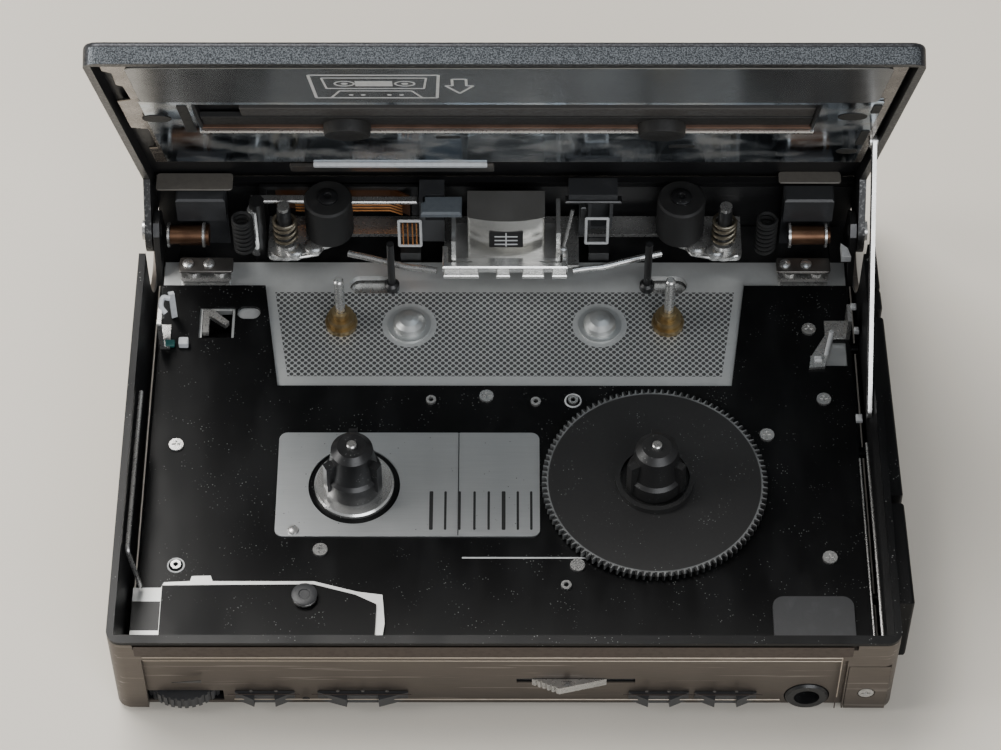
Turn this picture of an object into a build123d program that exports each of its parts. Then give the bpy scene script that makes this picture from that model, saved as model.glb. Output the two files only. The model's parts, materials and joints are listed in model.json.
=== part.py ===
from build123d import *
import os
from math import cos, hypot, pi, radians, sin, sqrt

os.makedirs("parts", exist_ok=True)

# Portable cassette player with its lid open, in millimetres.
# +X is to the right, +Y from the front towards the hinge, +Z up.
# The origin is the centre of the case's flat bottom.

# The cassette sets the size: 42.5 between its hubs, 100.4 by 63.8 outside
hub_spacing = 42.5
capstan_spacing = 48.0
capstan_offset = 29.1

# Case
case_width = 106.0
case_depth = 82.9
corner_radius = 2.0
side_wall = 1.0
front_wall = 1.3
panel_wall = 1.0
back_wall = 1.2
spindle_setback = 32.7
deck_height = 6.6
rim_above_deck = 11.3
trim_height = 0.6
groove_height = 1.1
groove_depth = 0.6
step_above_deck = 6.9
panel_recess = 0.8
pan_height = 1.0
pan_inset = 1.2
cover_gap = 0.15

# Plates of the deck, one on another
deck_sheet = 0.5
chassis_sheet = 1.0
label_sheet = 0.25
sheet_front_gap = 0.3
sheet_side_gap = 1.4

# Hinge and lid, measured from the hinge pin
hinge_rear_reach = 7.9
hinge_setback = case_depth - hinge_rear_reach
hinge_above_deck = 5.1
lid_open_angle = 62.6
lid_height = 3.0
lid_seam = 0.1
lid_skin = 0.9
lid_wall = 1.0
ear_thickness = 1.0
ear_end_radius = 3.2
ear_half_width = 6.4
ear_clearance = 0.35
hinge_pin_radius = 0.9
hinge_head_radius = 1.2
hinge_head_height = 0.5
running_clearance = 0.05

# Works
shaft_radius = 0.7
roller_radius = 3.55
roller_length = 7.5
flywheel_radius = 11.0
flywheel_thickness = 1.6
belt_thickness = 0.5
belt_height = 0.8

half_width = case_width / 2
half_depth = case_depth / 2
front_y = -half_depth
spindle_y = front_y + spindle_setback
spindle_x = hub_spacing / 2
capstan_x = capstan_spacing / 2
hinge_y = front_y + hinge_setback
hinge_z = deck_height + hinge_above_deck
rim_z = deck_height + rim_above_deck
trim_z = rim_z - trim_height
back_inner = case_depth - spindle_setback - back_wall
front_inner = front_wall - spindle_setback


def deck_level(height):
    """Level plane above the deck's top, with its origin midway between the two reels."""
    return Plane((0, spindle_y, deck_height + height))


def front_level(depth):
    """Plane behind the front face. Its x is the case's, its y is the height above the deck."""
    return Plane((0, front_y + depth, deck_height), x_dir=(1, 0, 0), z_dir=(0, -1, 0))


def side_level(x):
    """Upright plane across the case. Its x runs back from the reels, its y up from the deck."""
    return Plane((x, spindle_y, deck_height), x_dir=(0, 1, 0), z_dir=(1, 0, 0))


lid_back = (0, cos(radians(lid_open_angle)), -sin(radians(lid_open_angle)))
lid_up = (0, sin(radians(lid_open_angle)), cos(radians(lid_open_angle)))


def lid_level(height):
    """Plane of the open lid. Its origin is the hinge pin and its y runs back when the lid is closed."""
    origin = (0, hinge_y + height * lid_up[1], hinge_z + height * lid_up[2])
    return Plane(origin, x_dir=(1, 0, 0), z_dir=lid_up)


def lid_side(x):
    """Plane across the open lid. Its x runs back along the lid, its y through the lid's thickness."""
    return Plane((x, hinge_y, hinge_z), x_dir=lid_back, z_dir=(1, 0, 0))


def box_outline(left, right, low, high, mode=Mode.ADD):
    """Rectangle between two pairs of sides."""
    with Locations(((left + right) / 2, (low + high) / 2)):
        Rectangle(right - left, high - low, mode=mode)


def rounded_outline(left, right, low, high, radius):
    """Rectangle with round corners between two pairs of sides."""
    with Locations(((left + right) / 2, (low + high) / 2)):
        RectangleRounded(right - left, high - low, radius)


# Front face: heights and widths measured from the reels' middle and the deck
wheel_slot = (-48.8, -38.3)
wheel_slot_heights = (-4.95, -2.4)
wheel_radius = 6.2
wheel_stand = 1.5
wheel_x = -43.8
wheel_ridges = 40
wheel_low = wheel_slot_heights[0] + 0.25
wheel_high = wheel_slot_heights[1] - 0.25
wheel_y = panel_recess - spindle_setback - wheel_stand + wheel_radius
switch_spans = ((-36.7, -28.6), (-25.4, -13.1), (17.0, 25.2), (26.0, 34.4))
switch_height = -3.35
switch_slot_height = 1.0
switch_travels = (-1.6, 3.0, -2.0, 2.0)
stem_half = 1.2
stem_play = 0.5
slider_slot = (1.7, 17.8)
slider_slot_height = 1.0
slider_height = 0.3
slider_knob = (3.8, 13.9)
slider_travel = 3.4
socket_place = (41.3, -3.55)
socket_ring_radius = 2.95
socket_bore_radius = 1.75
socket_length = 12.0
end_block_sides = (half_width - 6.7, half_width - 0.9)
end_block_top = 5.4
panel_left = 4.4 - half_width
panel_right = half_width - 6.9
end_block_depth = 1.2

# Right side: keys as lengths back from the reels
key_spans = ((-25.0, -8.8), (-7.5, 23.2), (24.8, 28.1))
fixed_key_span = (28.5, 36.6)
key_names = ("stop_key", "play_key", "mode_key")
key_low = -4.4
key_high = 9.0
key_pocket_depth = 0.6
key_pocket_gap = 0.2
key_stand = 2.4
key_taper = 1.2
key_stem_radius = 0.8
key_stem_height = -2.9
key_stem_length = 2.4

# Hinge ears turn in round notches of the side walls
notch_radius = hypot(ear_half_width, rim_above_deck - hinge_above_deck) + ear_clearance
shroud_radius = 8.0
shroud_wall = 0.9
shroud_start = 2.0
shroud_high = 4.6
shroud_end = 1.15
pin_back = hinge_setback - spindle_setback

# Case: front, sides and back in one piece, with the hollow for the works below
panel_z = (-deck_height, step_above_deck)
low_front = panel_recess + panel_wall - spindle_setback
with BuildPart() as main_case:
    with BuildSketch(Plane.XY.offset(pan_height)):
        RectangleRounded(case_width, case_depth, corner_radius)
    extrude(amount=trim_z - pan_height)
    with BuildSketch(deck_level(-deck_height)):
        box_outline(side_wall - half_width, half_width - side_wall, low_front, back_inner)
    extrude(amount=deck_height + step_above_deck, mode=Mode.SUBTRACT)
    with BuildSketch(deck_level(step_above_deck)):
        box_outline(side_wall - half_width, half_width - side_wall, front_inner, back_inner)
    extrude(amount=rim_above_deck, mode=Mode.SUBTRACT)
    with BuildSketch(front_level(panel_recess)):
        box_outline(panel_left, panel_right, *panel_z)
    extrude(amount=panel_recess, mode=Mode.SUBTRACT)
    with BuildSketch(front_level(end_block_depth)):
        box_outline(*end_block_sides, -deck_height, end_block_top)
    extrude(amount=end_block_depth, mode=Mode.SUBTRACT)
    groove_low = rim_above_deck - trim_height - groove_height
    with BuildSketch(front_level(groove_depth)):
        box_outline(panel_left - 0.9, panel_right + 1.1, groove_low, groove_low + groove_height)
    extrude(amount=groove_depth, mode=Mode.SUBTRACT)
    with BuildSketch(front_level(panel_recess)):
        box_outline(*wheel_slot, *wheel_slot_heights)
        for (left, right), travel in zip(switch_spans, switch_travels):
            with Locations(((left + right + travel) / 2, switch_height)):
                SlotOverall(2 * (stem_half + stem_play) + abs(travel), switch_slot_height)
        with Locations(((slider_slot[0] + slider_slot[1]) / 2, slider_height)):
            Rectangle(slider_slot[1] - slider_slot[0], slider_slot_height)
        with Locations(socket_place):
            Circle(socket_ring_radius + cover_gap)
    extrude(amount=-panel_wall, mode=Mode.SUBTRACT)
    for low, high in key_spans:
        with BuildSketch(side_level(half_width)):
            rounded_outline(low - key_pocket_gap, high + key_pocket_gap, key_low - key_pocket_gap,
                            key_high + key_pocket_gap, 0.8)
        extrude(amount=-key_pocket_depth, mode=Mode.SUBTRACT)
        with BuildSketch(side_level(half_width)):
            with Locations(((low + high) / 2, key_stem_height)):
                Circle(key_stem_radius + running_clearance)
        extrude(amount=-side_wall, mode=Mode.SUBTRACT)
    for side in (-1, 1):
        with BuildSketch(side_level(side * half_width)):
            with Locations((pin_back, hinge_above_deck)):
                Circle(notch_radius)
            box_outline(pin_back - notch_radius, pin_back + notch_radius, hinge_above_deck, rim_above_deck)
        extrude(amount=-side * side_wall, mode=Mode.SUBTRACT)
    # The back wall ends in a round shroud about the hinge pin, under the lid's path
    with BuildSketch(deck_level(hinge_above_deck + shroud_start)):
        box_outline(-half_width, half_width, back_inner - 0.5, case_depth)
    extrude(amount=rim_above_deck, mode=Mode.SUBTRACT)
    with BuildSketch(side_level(shroud_end - half_width)):
        with Locations((pin_back, hinge_above_deck)):
            Circle(shroud_radius)
            Circle(shroud_radius - shroud_wall, mode=Mode.SUBTRACT)
        box_outline(pin_back + shroud_radius * 0.6, pin_back + 20, hinge_above_deck + shroud_start - 0.8,
                    hinge_above_deck + shroud_high, mode=Mode.INTERSECT)
    extrude(amount=case_width - 2 * shroud_end)
main_case.part.label = "main_case"
export_step(main_case.part, "parts/main_case.step")

# Glossy rim along the front and the sides, open at the back for the hinge
with BuildPart() as rim_trim:
    with BuildSketch(Plane.XY.offset(trim_z)):
        RectangleRounded(case_width, case_depth, corner_radius)
    extrude(amount=trim_height)
    with BuildSketch(deck_level(0)):
        box_outline(side_wall - half_width, half_width - side_wall, front_inner, case_depth)
        box_outline(-half_width, half_width, pin_back - notch_radius, case_depth)
    extrude(amount=rim_above_deck, mode=Mode.SUBTRACT)
rim_trim.part.label = "rim_trim"
export_step(rim_trim.part, "parts/rim_trim.step")

# Bottom pan, set back from the case's edges, which the player stands on
pan_screw_x = half_width - 7.0
pan_screw_rows = (-9.0, back_inner - 4.4)
pan_screw_places = [(x, y) for y in pan_screw_rows for x in (-pan_screw_x, pan_screw_x)]
pan_screw_head = 1.7
pan_screw_radius = 0.8
block_screw_place = (half_width - 3.8, -1.6)
corner_screw_head = 1.05
screw_boss_radius = 2.2
screw_boss_height = 2.2
with BuildPart() as bottom_pan:
    with BuildSketch(Plane.XY):
        RectangleRounded(case_width - 2 * pan_inset, case_depth - 2 * pan_inset, corner_radius)
    extrude(amount=pan_height)
    chamfer(bottom_pan.faces().sort_by(Axis.Z)[0].edges(), 0.4)
    with BuildSketch(Plane.XY.offset(pan_height)):
        with Locations(*[(x, spindle_y + y) for x, y in pan_screw_places]):
            Circle(screw_boss_radius)
    extrude(amount=screw_boss_height)
    with BuildSketch(Plane.XY):
        with Locations(*[(x, spindle_y + y) for x, y in pan_screw_places]):
            Circle(pan_screw_radius)
    extrude(amount=pan_height + screw_boss_height - 0.4, mode=Mode.SUBTRACT)
    with BuildSketch(Plane.XY):
        with Locations(*[(x, spindle_y + y) for x, y in pan_screw_places]):
            Circle(pan_screw_head + cover_gap)
    extrude(amount=0.6, mode=Mode.SUBTRACT)
bottom_pan.part.label = "bottom_pan"
export_step(bottom_pan.part, "parts/bottom_pan.step")

with BuildPart() as case_screws:
    with BuildSketch(Plane.XY.offset(0.15)):
        with Locations(*[(x, spindle_y + y) for x, y in pan_screw_places]):
            Circle(pan_screw_head)
    extrude(amount=0.45)
    with BuildSketch(Plane.XY.offset(0.6)):
        with Locations(*[(x, spindle_y + y) for x, y in pan_screw_places]):
            RegularPolygon(pan_screw_radius, 12)
    extrude(amount=1.6)
    with BuildSketch(front_level(0.35)):
        with Locations(block_screw_place):
            Circle(corner_screw_head)
    extrude(amount=0.35)
    with BuildSketch(front_level(0)):
        with Locations(block_screw_place):
            Rectangle(1.2, 0.28)
            Rectangle(0.28, 1.2)
    extrude(amount=-0.2, mode=Mode.SUBTRACT)
case_screws.part.label = "case_screws"
export_step(case_screws.part, "parts/case_screws.step")

# Sheets of the deck. The lower, light one shows through the window of the upper, black one.
sheet_sides = half_width - side_wall - sheet_side_gap
sheet_front = low_front + sheet_front_gap
sheet_back = 40.6
window_front = 17.6
window_front_half = 32.9
window_back_half = 35.6
black_back = 35.9
capstan_hole = 2.0
claw_window = (-44.9, -39.7, 26.2, 31.9)
small_window = (-39.4, -36.0, 29.7, 32.0)
side_recess = (46.8, 49.9, 21.2, 25.7)
guide_slot_places = ((-19.5, 36.4), (23.6, 36.4))
with BuildPart() as chassis_sheet_plate:
    with BuildSketch(deck_level(-deck_sheet)):
        box_outline(-sheet_sides, sheet_sides, sheet_front, sheet_back)
        with Locations((-capstan_x, capstan_offset), (capstan_x, capstan_offset)):
            Circle(capstan_hole, mode=Mode.SUBTRACT)
        with Locations((-spindle_x, 0), (spindle_x, 0)):
            Circle(shaft_radius, mode=Mode.SUBTRACT)
        with Locations(((claw_window[0] + claw_window[1]) / 2, (claw_window[2] + claw_window[3]) / 2)):
            Rectangle(4.4, 5.0, mode=Mode.SUBTRACT)
        with Locations(*guide_slot_places):
            SlotOverall(7.0, 3.2, mode=Mode.SUBTRACT)
    extrude(amount=-chassis_sheet)
chassis_sheet_plate.part.label = "chassis_plate"
export_step(chassis_sheet_plate.part, "parts/chassis_plate.step")

with BuildPart() as deck_plate:
    with BuildSketch(deck_level(-deck_sheet)):
        box_outline(-sheet_sides, sheet_sides, sheet_front, black_back)
        Polygon((-window_back_half, black_back + 1), (-window_front_half, window_front),
                (window_front_half, window_front), (window_back_half, black_back + 1), mode=Mode.SUBTRACT)
        with Locations((-spindle_x, 0), (spindle_x, 0)):
            Circle(shaft_radius + 1.0, mode=Mode.SUBTRACT)
        with Locations(((claw_window[0] + claw_window[1]) / 2, (claw_window[2] + claw_window[3]) / 2),):
            Rectangle(claw_window[1] - claw_window[0], claw_window[3] - claw_window[2], mode=Mode.SUBTRACT)
        with Locations(((small_window[0] + small_window[1]) / 2, (small_window[2] + small_window[3]) / 2)):
            SlotOverall(small_window[1] - small_window[0], small_window[3] - small_window[2], mode=Mode.SUBTRACT)
        with Locations(((side_recess[0] + side_recess[1]) / 2, (side_recess[2] + side_recess[3]) / 2)):
            Rectangle(side_recess[1] - side_recess[0], side_recess[3] - side_recess[2], mode=Mode.SUBTRACT)
    extrude(amount=deck_sheet)
deck_plate.part.label = "deck_plate"
export_step(deck_plate.part, "parts/deck_plate.step")

# Printed plate round the left reel
label_outline = (-32.2, 5.0, -8.6, 9.1)
label_corner = 1.2
label_hole = 6.5
label_groove_x = -6.5
with BuildPart() as label_plate:
    with BuildSketch(deck_level(0)):
        rounded_outline(*label_outline, label_corner)
        with Locations((-spindle_x, 0)):
            Circle(label_hole, mode=Mode.SUBTRACT)
    extrude(amount=label_sheet)
    with BuildSketch(deck_level(label_sheet)):
        box_outline(label_groove_x - 0.12, label_groove_x + 0.12, label_outline[2], label_outline[3])
    extrude(amount=-0.12, mode=Mode.SUBTRACT)
label_plate.part.label = "label_plate"
export_step(label_plate.part, "parts/label_plate.step")

# Domed studs in plain rings on the light plate
dome_places = ((-14.0, 28.9), (14.0, 28.9))
dome_radius = 2.4
dome_ring_radius = 3.2
with BuildPart() as domed_studs:
    with BuildSketch(deck_level(-deck_sheet)):
        with Locations(*dome_places):
            Circle(dome_ring_radius)
    extrude(amount=0.25)
    for x, y in dome_places:
        with BuildSketch(side_level(x)):
            with BuildLine():
                Line((y, 0.25 - deck_sheet), (y + dome_radius, 0.25 - deck_sheet))
                Line((y + dome_radius, 0.25 - deck_sheet), (y + dome_radius, 0.1))
                Polyline((y + dome_radius, 0.1), (y + dome_radius * 0.9, 0.6), (y + dome_radius * 0.6, 1.05),
                         (y + dome_radius * 0.25, 1.27), (y, 1.3))
                Line((y, 1.3), (y, 0.25 - deck_sheet))
            make_face()
        revolve(axis=Axis((x, spindle_y + y, 0), (0, 0, 1)))
domed_studs.part.label = "domed_studs"
export_step(domed_studs.part, "parts/domed_studs.step")

# Small screws and rivets of the deck, with their places from the reels' middle
rivet_places = ((-10.6, 14.9), (4.5, 14.6), (8.6, -16.6), (-45.7, -13.3), (9.9, 14.9))
screw_places = ((-2.6, 15.6), (10.2, -13.3), (44.6, 27.7), (45.4, -12.0), (-46.9, 7.0), (-25.7, -10.8))
ringed_places = ((37.6, 8.8), (46.1, 15.1))
label_rivet_place = (-29.6, -7.6)
screw_head_radius = 1.05
rivet_radius = 0.75
rear_bracket_sheet = 0.9
bracket_middle = half_width - 8.7
bracket_screw_places = ((bracket_middle - 2.0, 38.4), (bracket_middle + 2.0, 38.4))
latch_pivot = (-27.5, -19.2)
lever_low = 0.3
lever_sheet = 0.4
cover_sheet = 0.35
latch_screw_radius = 0.8
latch_head_low = lever_low + lever_sheet + cover_sheet + 0.1
latch_head_radius = 1.7
latch_head_height = 0.8
with BuildPart() as deck_fasteners:
    with BuildSketch(deck_level(0)):
        with Locations(*screw_places, *ringed_places):
            RegularPolygon(screw_head_radius, 12)
    extrude(amount=0.35)
    with BuildSketch(deck_level(0.35)):
        with Locations(*screw_places, *ringed_places):
            Rectangle(1.2, 0.28)
            Rectangle(0.28, 1.2)
    extrude(amount=-0.2, mode=Mode.SUBTRACT)
    with BuildSketch(deck_level(0)):
        with Locations(*rivet_places):
            RegularPolygon(rivet_radius, 10)
            RegularPolygon(rivet_radius / 2, 8, mode=Mode.SUBTRACT)
    extrude(amount=0.4)
    with BuildSketch(deck_level(label_sheet)):
        with Locations(label_rivet_place):
            RegularPolygon(rivet_radius, 10)
            RegularPolygon(rivet_radius / 2, 8, mode=Mode.SUBTRACT)
    extrude(amount=0.3)
    with BuildSketch(deck_level(rear_bracket_sheet - deck_sheet)):
        with Locations(*[(side * x, y) for side in (-1, 1) for x, y in bracket_screw_places]):
            RegularPolygon(1.15, 12)
    extrude(amount=0.4)
    with BuildSketch(deck_level(0)):
        with Locations(latch_pivot):
            Circle(latch_screw_radius)
    extrude(amount=latch_head_low)
    with BuildSketch(deck_level(latch_head_low)):
        with Locations(latch_pivot):
            Circle(latch_head_radius)
    extrude(amount=latch_head_height)
    chamfer(deck_fasteners.faces().sort_by(Axis.Z)[-1].edges(), 0.45)
deck_fasteners.part.label = "deck_fasteners"
export_step(deck_fasteners.part, "parts/deck_fasteners.step")

# Dark tab at the front right of the deck
tab_outline = (37.0, 48.2, -30.2, -18.6)
tab_thickness = 0.6
with BuildPart() as front_tab:
    with BuildSketch(deck_level(0)):
        box_outline(*tab_outline)
    extrude(amount=tab_thickness)
    rear_edges = front_tab.edges().filter_by(Axis.Z).group_by(Axis.Y)[-1]
    fillet(rear_edges, 1.6)
front_tab.part.label = "front_tab"
export_step(front_tab.part, "parts/front_tab.step")

# Posts fixed in the light plate: two that the spindles turn on, and one below it for the volume wheel
post_top = 10.6
spindle_top = 10.0
spindle_bore = shaft_radius + running_clearance
reel_base_radius = 5.65
reel_base_height = 0.9
spindle_radius = 4.0
spindle_tip_radius = 2.45
spindle_shoulder = 4.2
tab_reach = 4.4
tab_width = 1.2
tab_low = 2.4
tab_high = 8.0
gear_teeth = 105
gear_tip_radius = 15.95
tooth_depth = 0.62
gear_low = 0.3
gear_high = 1.45
gear_hub_radius = 5.6
gear_hub_high = 2.4

with BuildPart() as fixed_posts:
    with BuildSketch(deck_level(-deck_sheet - chassis_sheet)):
        with Locations((-spindle_x, 0), (spindle_x, 0)):
            Circle(shaft_radius)
    extrude(amount=deck_sheet + chassis_sheet + post_top)
    chamfer(fixed_posts.faces().filter_by(Axis.Z).group_by(Axis.Z)[-1].edges(), 0.15)
    with BuildSketch(deck_level(pan_height - deck_height)):
        with Locations((wheel_x, wheel_y)):
            Circle(shaft_radius)
    extrude(amount=deck_height - pan_height - deck_sheet - chassis_sheet)
fixed_posts.part.label = "fixed_posts"
export_step(fixed_posts.part, "parts/fixed_posts.step")

# The right spindle carries a disc with straight-flanked teeth round its whole rim
tooth_points = []
for tooth in range(gear_teeth):
    for share, radius in ((0.0, gear_tip_radius - tooth_depth), (0.3, gear_tip_radius - tooth_depth),
                          (0.5, gear_tip_radius), (0.8, gear_tip_radius)):
        angle = 2 * pi * (tooth + share) / gear_teeth
        tooth_points.append((spindle_x + radius * cos(angle), radius * sin(angle)))
tab_middle = (spindle_tip_radius + tab_reach) / 2
for name, side, low in (("left", -1, reel_base_height), ("right", 1, gear_high)):
    x = side * spindle_x
    with BuildPart() as spindle:
        with BuildSketch(Plane((x, spindle_y, deck_height), x_dir=(1, 0, 0), z_dir=(0, -1, 0))):
            with BuildLine():
                Polyline((spindle_bore, low), (spindle_radius, low), (spindle_radius, spindle_shoulder),
                         (spindle_radius - 0.5, spindle_shoulder + 0.5),
                         (spindle_tip_radius + 0.5, spindle_top - 0.8), (spindle_tip_radius - 0.4, spindle_top),
                         (spindle_bore, spindle_top), close=True)
            make_face()
        revolve(axis=Axis((x, spindle_y, 0), (0, 0, 1)))
        with BuildSketch(deck_level(tab_low)):
            with Locations((x, 0)):
                with PolarLocations(tab_middle, 3, start_angle=90):
                    Rectangle(tab_reach - spindle_tip_radius, tab_width)
        extrude(amount=tab_high - tab_low)
        if side > 0:
            with BuildSketch(deck_level(gear_low)):
                Polygon(*tooth_points)
                with Locations((x, 0)):
                    Circle(spindle_bore, mode=Mode.SUBTRACT)
            extrude(amount=gear_high - gear_low)
            with BuildSketch(deck_level(gear_high)):
                with Locations((x, 0)):
                    Circle(gear_hub_radius)
                    Circle(gear_hub_radius - 0.7, mode=Mode.SUBTRACT)
            extrude(amount=gear_hub_high - gear_high)
    spindle.part.label = f"{name}_spindle"
    export_step(spindle.part, f"parts/{name}_spindle.step")

with BuildPart() as left_reel_base:
    with BuildSketch(deck_level(0.1)):
        with Locations((-spindle_x, 0)):
            Circle(reel_base_radius)
            Circle(spindle_bore, mode=Mode.SUBTRACT)
    extrude(amount=reel_base_height - 0.1)
    chamfer(left_reel_base.faces().sort_by(Axis.Z)[-1].edges().sort_by(SortBy.LENGTH)[-1], 0.25)
left_reel_base.part.label = "left_reel_base"
export_step(left_reel_base.part, "parts/left_reel_base.step")

# Capstans: steel shafts in brass bushings, each with a flywheel under the deck
shaft_foot = -5.4
capstan_tip = 10.1
bushing_radius = 1.9
bushing_step_radius = 1.25
bushing_flange_radius = 2.4
bushing_step = 1.7
bushing_top = 2.9
flywheel_low = -3.5
belt_groove_depth = 0.45
belt_mid = flywheel_low + flywheel_thickness / 2
capstan_places = ((-capstan_x, capstan_offset), (capstan_x, capstan_offset))
with BuildPart() as capstan_bushings:
    with BuildSketch(deck_level(-deck_sheet - chassis_sheet)):
        with Locations(*capstan_places):
            Circle(bushing_radius)
    extrude(amount=deck_sheet + chassis_sheet + bushing_step)
    with BuildSketch(deck_level(-deck_sheet)):
        with Locations(*capstan_places):
            RegularPolygon(bushing_flange_radius, 12)
    extrude(amount=0.9)
    with BuildSketch(deck_level(bushing_step)):
        with Locations(*capstan_places):
            Circle(bushing_step_radius)
    extrude(amount=bushing_top - bushing_step)
    with BuildSketch(deck_level(bushing_top)):
        with Locations(*capstan_places):
            Circle(shaft_radius + running_clearance)
    extrude(amount=-10, mode=Mode.SUBTRACT)
capstan_bushings.part.label = "capstan_bushings"
export_step(capstan_bushings.part, "parts/capstan_bushings.step")

for name, place in zip(("left", "right"), capstan_places):
    with BuildPart() as capstan:
        with BuildSketch(deck_level(shaft_foot)):
            with Locations(place):
                Circle(shaft_radius)
        extrude(amount=capstan_tip - shaft_foot)
        chamfer(capstan.faces().sort_by(Axis.Z)[-1].edges(), 0.2)
        with BuildSketch(deck_level(flywheel_low)):
            with Locations(place):
                Circle(flywheel_radius)
        extrude(amount=flywheel_thickness)
        with BuildSketch(deck_level(belt_mid - belt_height / 2 - 0.1)):
            with Locations(place):
                Circle(flywheel_radius + 1)
                Circle(flywheel_radius - belt_groove_depth, mode=Mode.SUBTRACT)
        extrude(amount=belt_height + 0.2, mode=Mode.SUBTRACT)
    capstan.part.label = f"capstan_{name}"
    export_step(capstan.part, f"parts/capstan_{name}.step")

# Flat motor, its pulley and the belt round the pulley and both flywheels
motor_place = (0, 13.4)
motor_radius = 8.0
motor_low = -5.5
motor_high = -3.6
pulley_radius = 2.2
with BuildPart() as motor:
    with BuildSketch(deck_level(motor_low)):
        with Locations(motor_place):
            Circle(motor_radius)
    extrude(amount=motor_high - motor_low)
    chamfer(motor.faces().sort_by(Axis.Z)[-1].edges(), 0.3)
    with BuildSketch(deck_level(motor_high)):
        with Locations(motor_place):
            Circle(shaft_radius + running_clearance)
    extrude(amount=-1.2, mode=Mode.SUBTRACT)
motor.part.label = "motor"
export_step(motor.part, "parts/motor.step")

with BuildPart() as motor_pulley:
    with BuildSketch(deck_level(motor_high - 1.0)):
        with Locations(motor_place):
            Circle(shaft_radius)
    extrude(amount=2.9)
    with BuildSketch(deck_level(flywheel_low + 0.1)):
        with Locations(motor_place):
            Circle(pulley_radius)
    extrude(amount=flywheel_thickness - 0.1)
motor_pulley.part.label = "motor_pulley"
export_step(motor_pulley.part, "parts/motor_pulley.step")


belt_wheels = ((*motor_place, pulley_radius), (-capstan_x, capstan_offset, flywheel_radius - belt_groove_depth),
               (capstan_x, capstan_offset, flywheel_radius - belt_groove_depth))
belt_play = 0.06
with BuildPart() as drive_belt:
    for growth, mode in ((belt_thickness + belt_play, Mode.ADD), (belt_play, Mode.SUBTRACT)):
        with BuildSketch(deck_level(belt_mid - belt_height / 2)):
            for x, y, radius in belt_wheels:
                with Locations((x, y)):
                    Circle(radius + growth)
            make_hull()
        extrude(amount=belt_height, mode=mode)
drive_belt.part.label = "drive_belt"
export_step(drive_belt.part, "parts/drive_belt.step")

# Circuit board and flat cell between the pan and the light plate
board_outline = (3.0 - half_width, half_width - 3.0, -11.8, 3.6)
board_low = -5.5
board_thickness = 0.8
cell_outline = (-33.0, 34.0, -28.6, -12.6)
cell_thickness = 3.4
with BuildPart() as circuit_board:
    with BuildSketch(deck_level(board_low)):
        rounded_outline(*board_outline, 1.0)
        for x, y in pan_screw_places[:2]:
            with Locations((x, y)):
                Circle(screw_boss_radius + 1.0, mode=Mode.SUBTRACT)
    extrude(amount=board_thickness)
    with BuildSketch(deck_level(board_low + board_thickness)):
        with GridLocations(14, 6.4, 5, 2):
            Rectangle(6.0, 3.0)
    extrude(amount=0.9)
circuit_board.part.label = "circuit_board"
export_step(circuit_board.part, "parts/circuit_board.step")

with BuildPart() as flat_cell:
    with BuildSketch(deck_level(board_low)):
        rounded_outline(*cell_outline, 1.2)
    extrude(amount=cell_thickness)
    chamfer(flat_cell.edges().filter_by(Axis.X), 0.6)
flat_cell.part.label = "flat_cell"
export_step(flat_cell.part, "parts/flat_cell.step")

# Volume wheel on its upright pin, with grip ridges all round
with BuildPart() as volume_wheel:
    with BuildSketch(deck_level(wheel_low)):
        with Locations((wheel_x, wheel_y)):
            Circle(wheel_radius)
            Circle(shaft_radius + running_clearance, mode=Mode.SUBTRACT)
            with PolarLocations(wheel_radius, wheel_ridges):
                Rectangle(0.5, 0.45, mode=Mode.SUBTRACT)
    extrude(amount=wheel_high - wheel_low)
volume_wheel.part.label = "volume_wheel"
export_step(volume_wheel.part, "parts/volume_wheel.step")

# Slide switches: each knob is two wedges that point apart, with a flat between them
knob_height = 1.9
knob_peak = 1.5
knob_flat = 0.8
knob_tip = 0.3
for number, (knob_left, knob_right) in enumerate(switch_spans, 1):
    wedge = 0.32 * (knob_right - knob_left)
    face = front_y + panel_recess - spindle_y
    with BuildPart() as switch_knob:
        with BuildSketch(deck_level(switch_height - knob_height / 2)):
            Polygon((knob_left, face - 0.1), (knob_left, face - knob_tip), (knob_left + wedge, face - knob_peak),
                    (knob_left + wedge + 0.1, face - knob_flat), (knob_right - wedge - 0.1, face - knob_flat),
                    (knob_right - wedge, face - knob_peak), (knob_right, face - knob_tip), (knob_right, face - 0.1))
        extrude(amount=knob_height)
        with BuildSketch(front_level(panel_recess - 0.1)):
            with Locations(((knob_left + knob_right) / 2, switch_height)):
                Rectangle(2 * stem_half, switch_slot_height - 0.3)
        extrude(amount=-panel_wall - 0.7)
    switch_knob.part.label = f"switch_knob_{number}"
    export_step(switch_knob.part, f"parts/switch_knob_{number}.step")

# Opening slider: a shallow wedge of plain metal with a serrated short side
slider_apex = 7.5
slider_peak = 1.6
slider_knob_height = 1.5
slider_stem = (6.2, 11.0)
with BuildPart() as open_slider:
    face = front_y + panel_recess - spindle_y
    with BuildSketch(deck_level(slider_height - slider_knob_height / 2 - 0.2)):
        Polygon((slider_knob[0], face - 0.1), (slider_apex, face - slider_peak), (slider_knob[1], face - 0.1))
        for step in range(5):
            share = (step + 1) / 6
            with Locations((slider_knob[0] + share * (slider_apex - slider_knob[0]),
                            face - 0.1 - share * (slider_peak - 0.1))):
                Rectangle(0.3, 0.3, rotation=30, mode=Mode.SUBTRACT)
    extrude(amount=slider_knob_height)
    with BuildSketch(front_level(panel_recess - 0.2)):
        box_outline(*slider_stem, slider_height - slider_slot_height / 2 + 0.1,
                    slider_height + slider_slot_height / 2 - 0.1)
    extrude(amount=-panel_wall - 0.35)
open_slider.part.label = "open_slider"
export_step(open_slider.part, "parts/open_slider.step")

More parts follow.
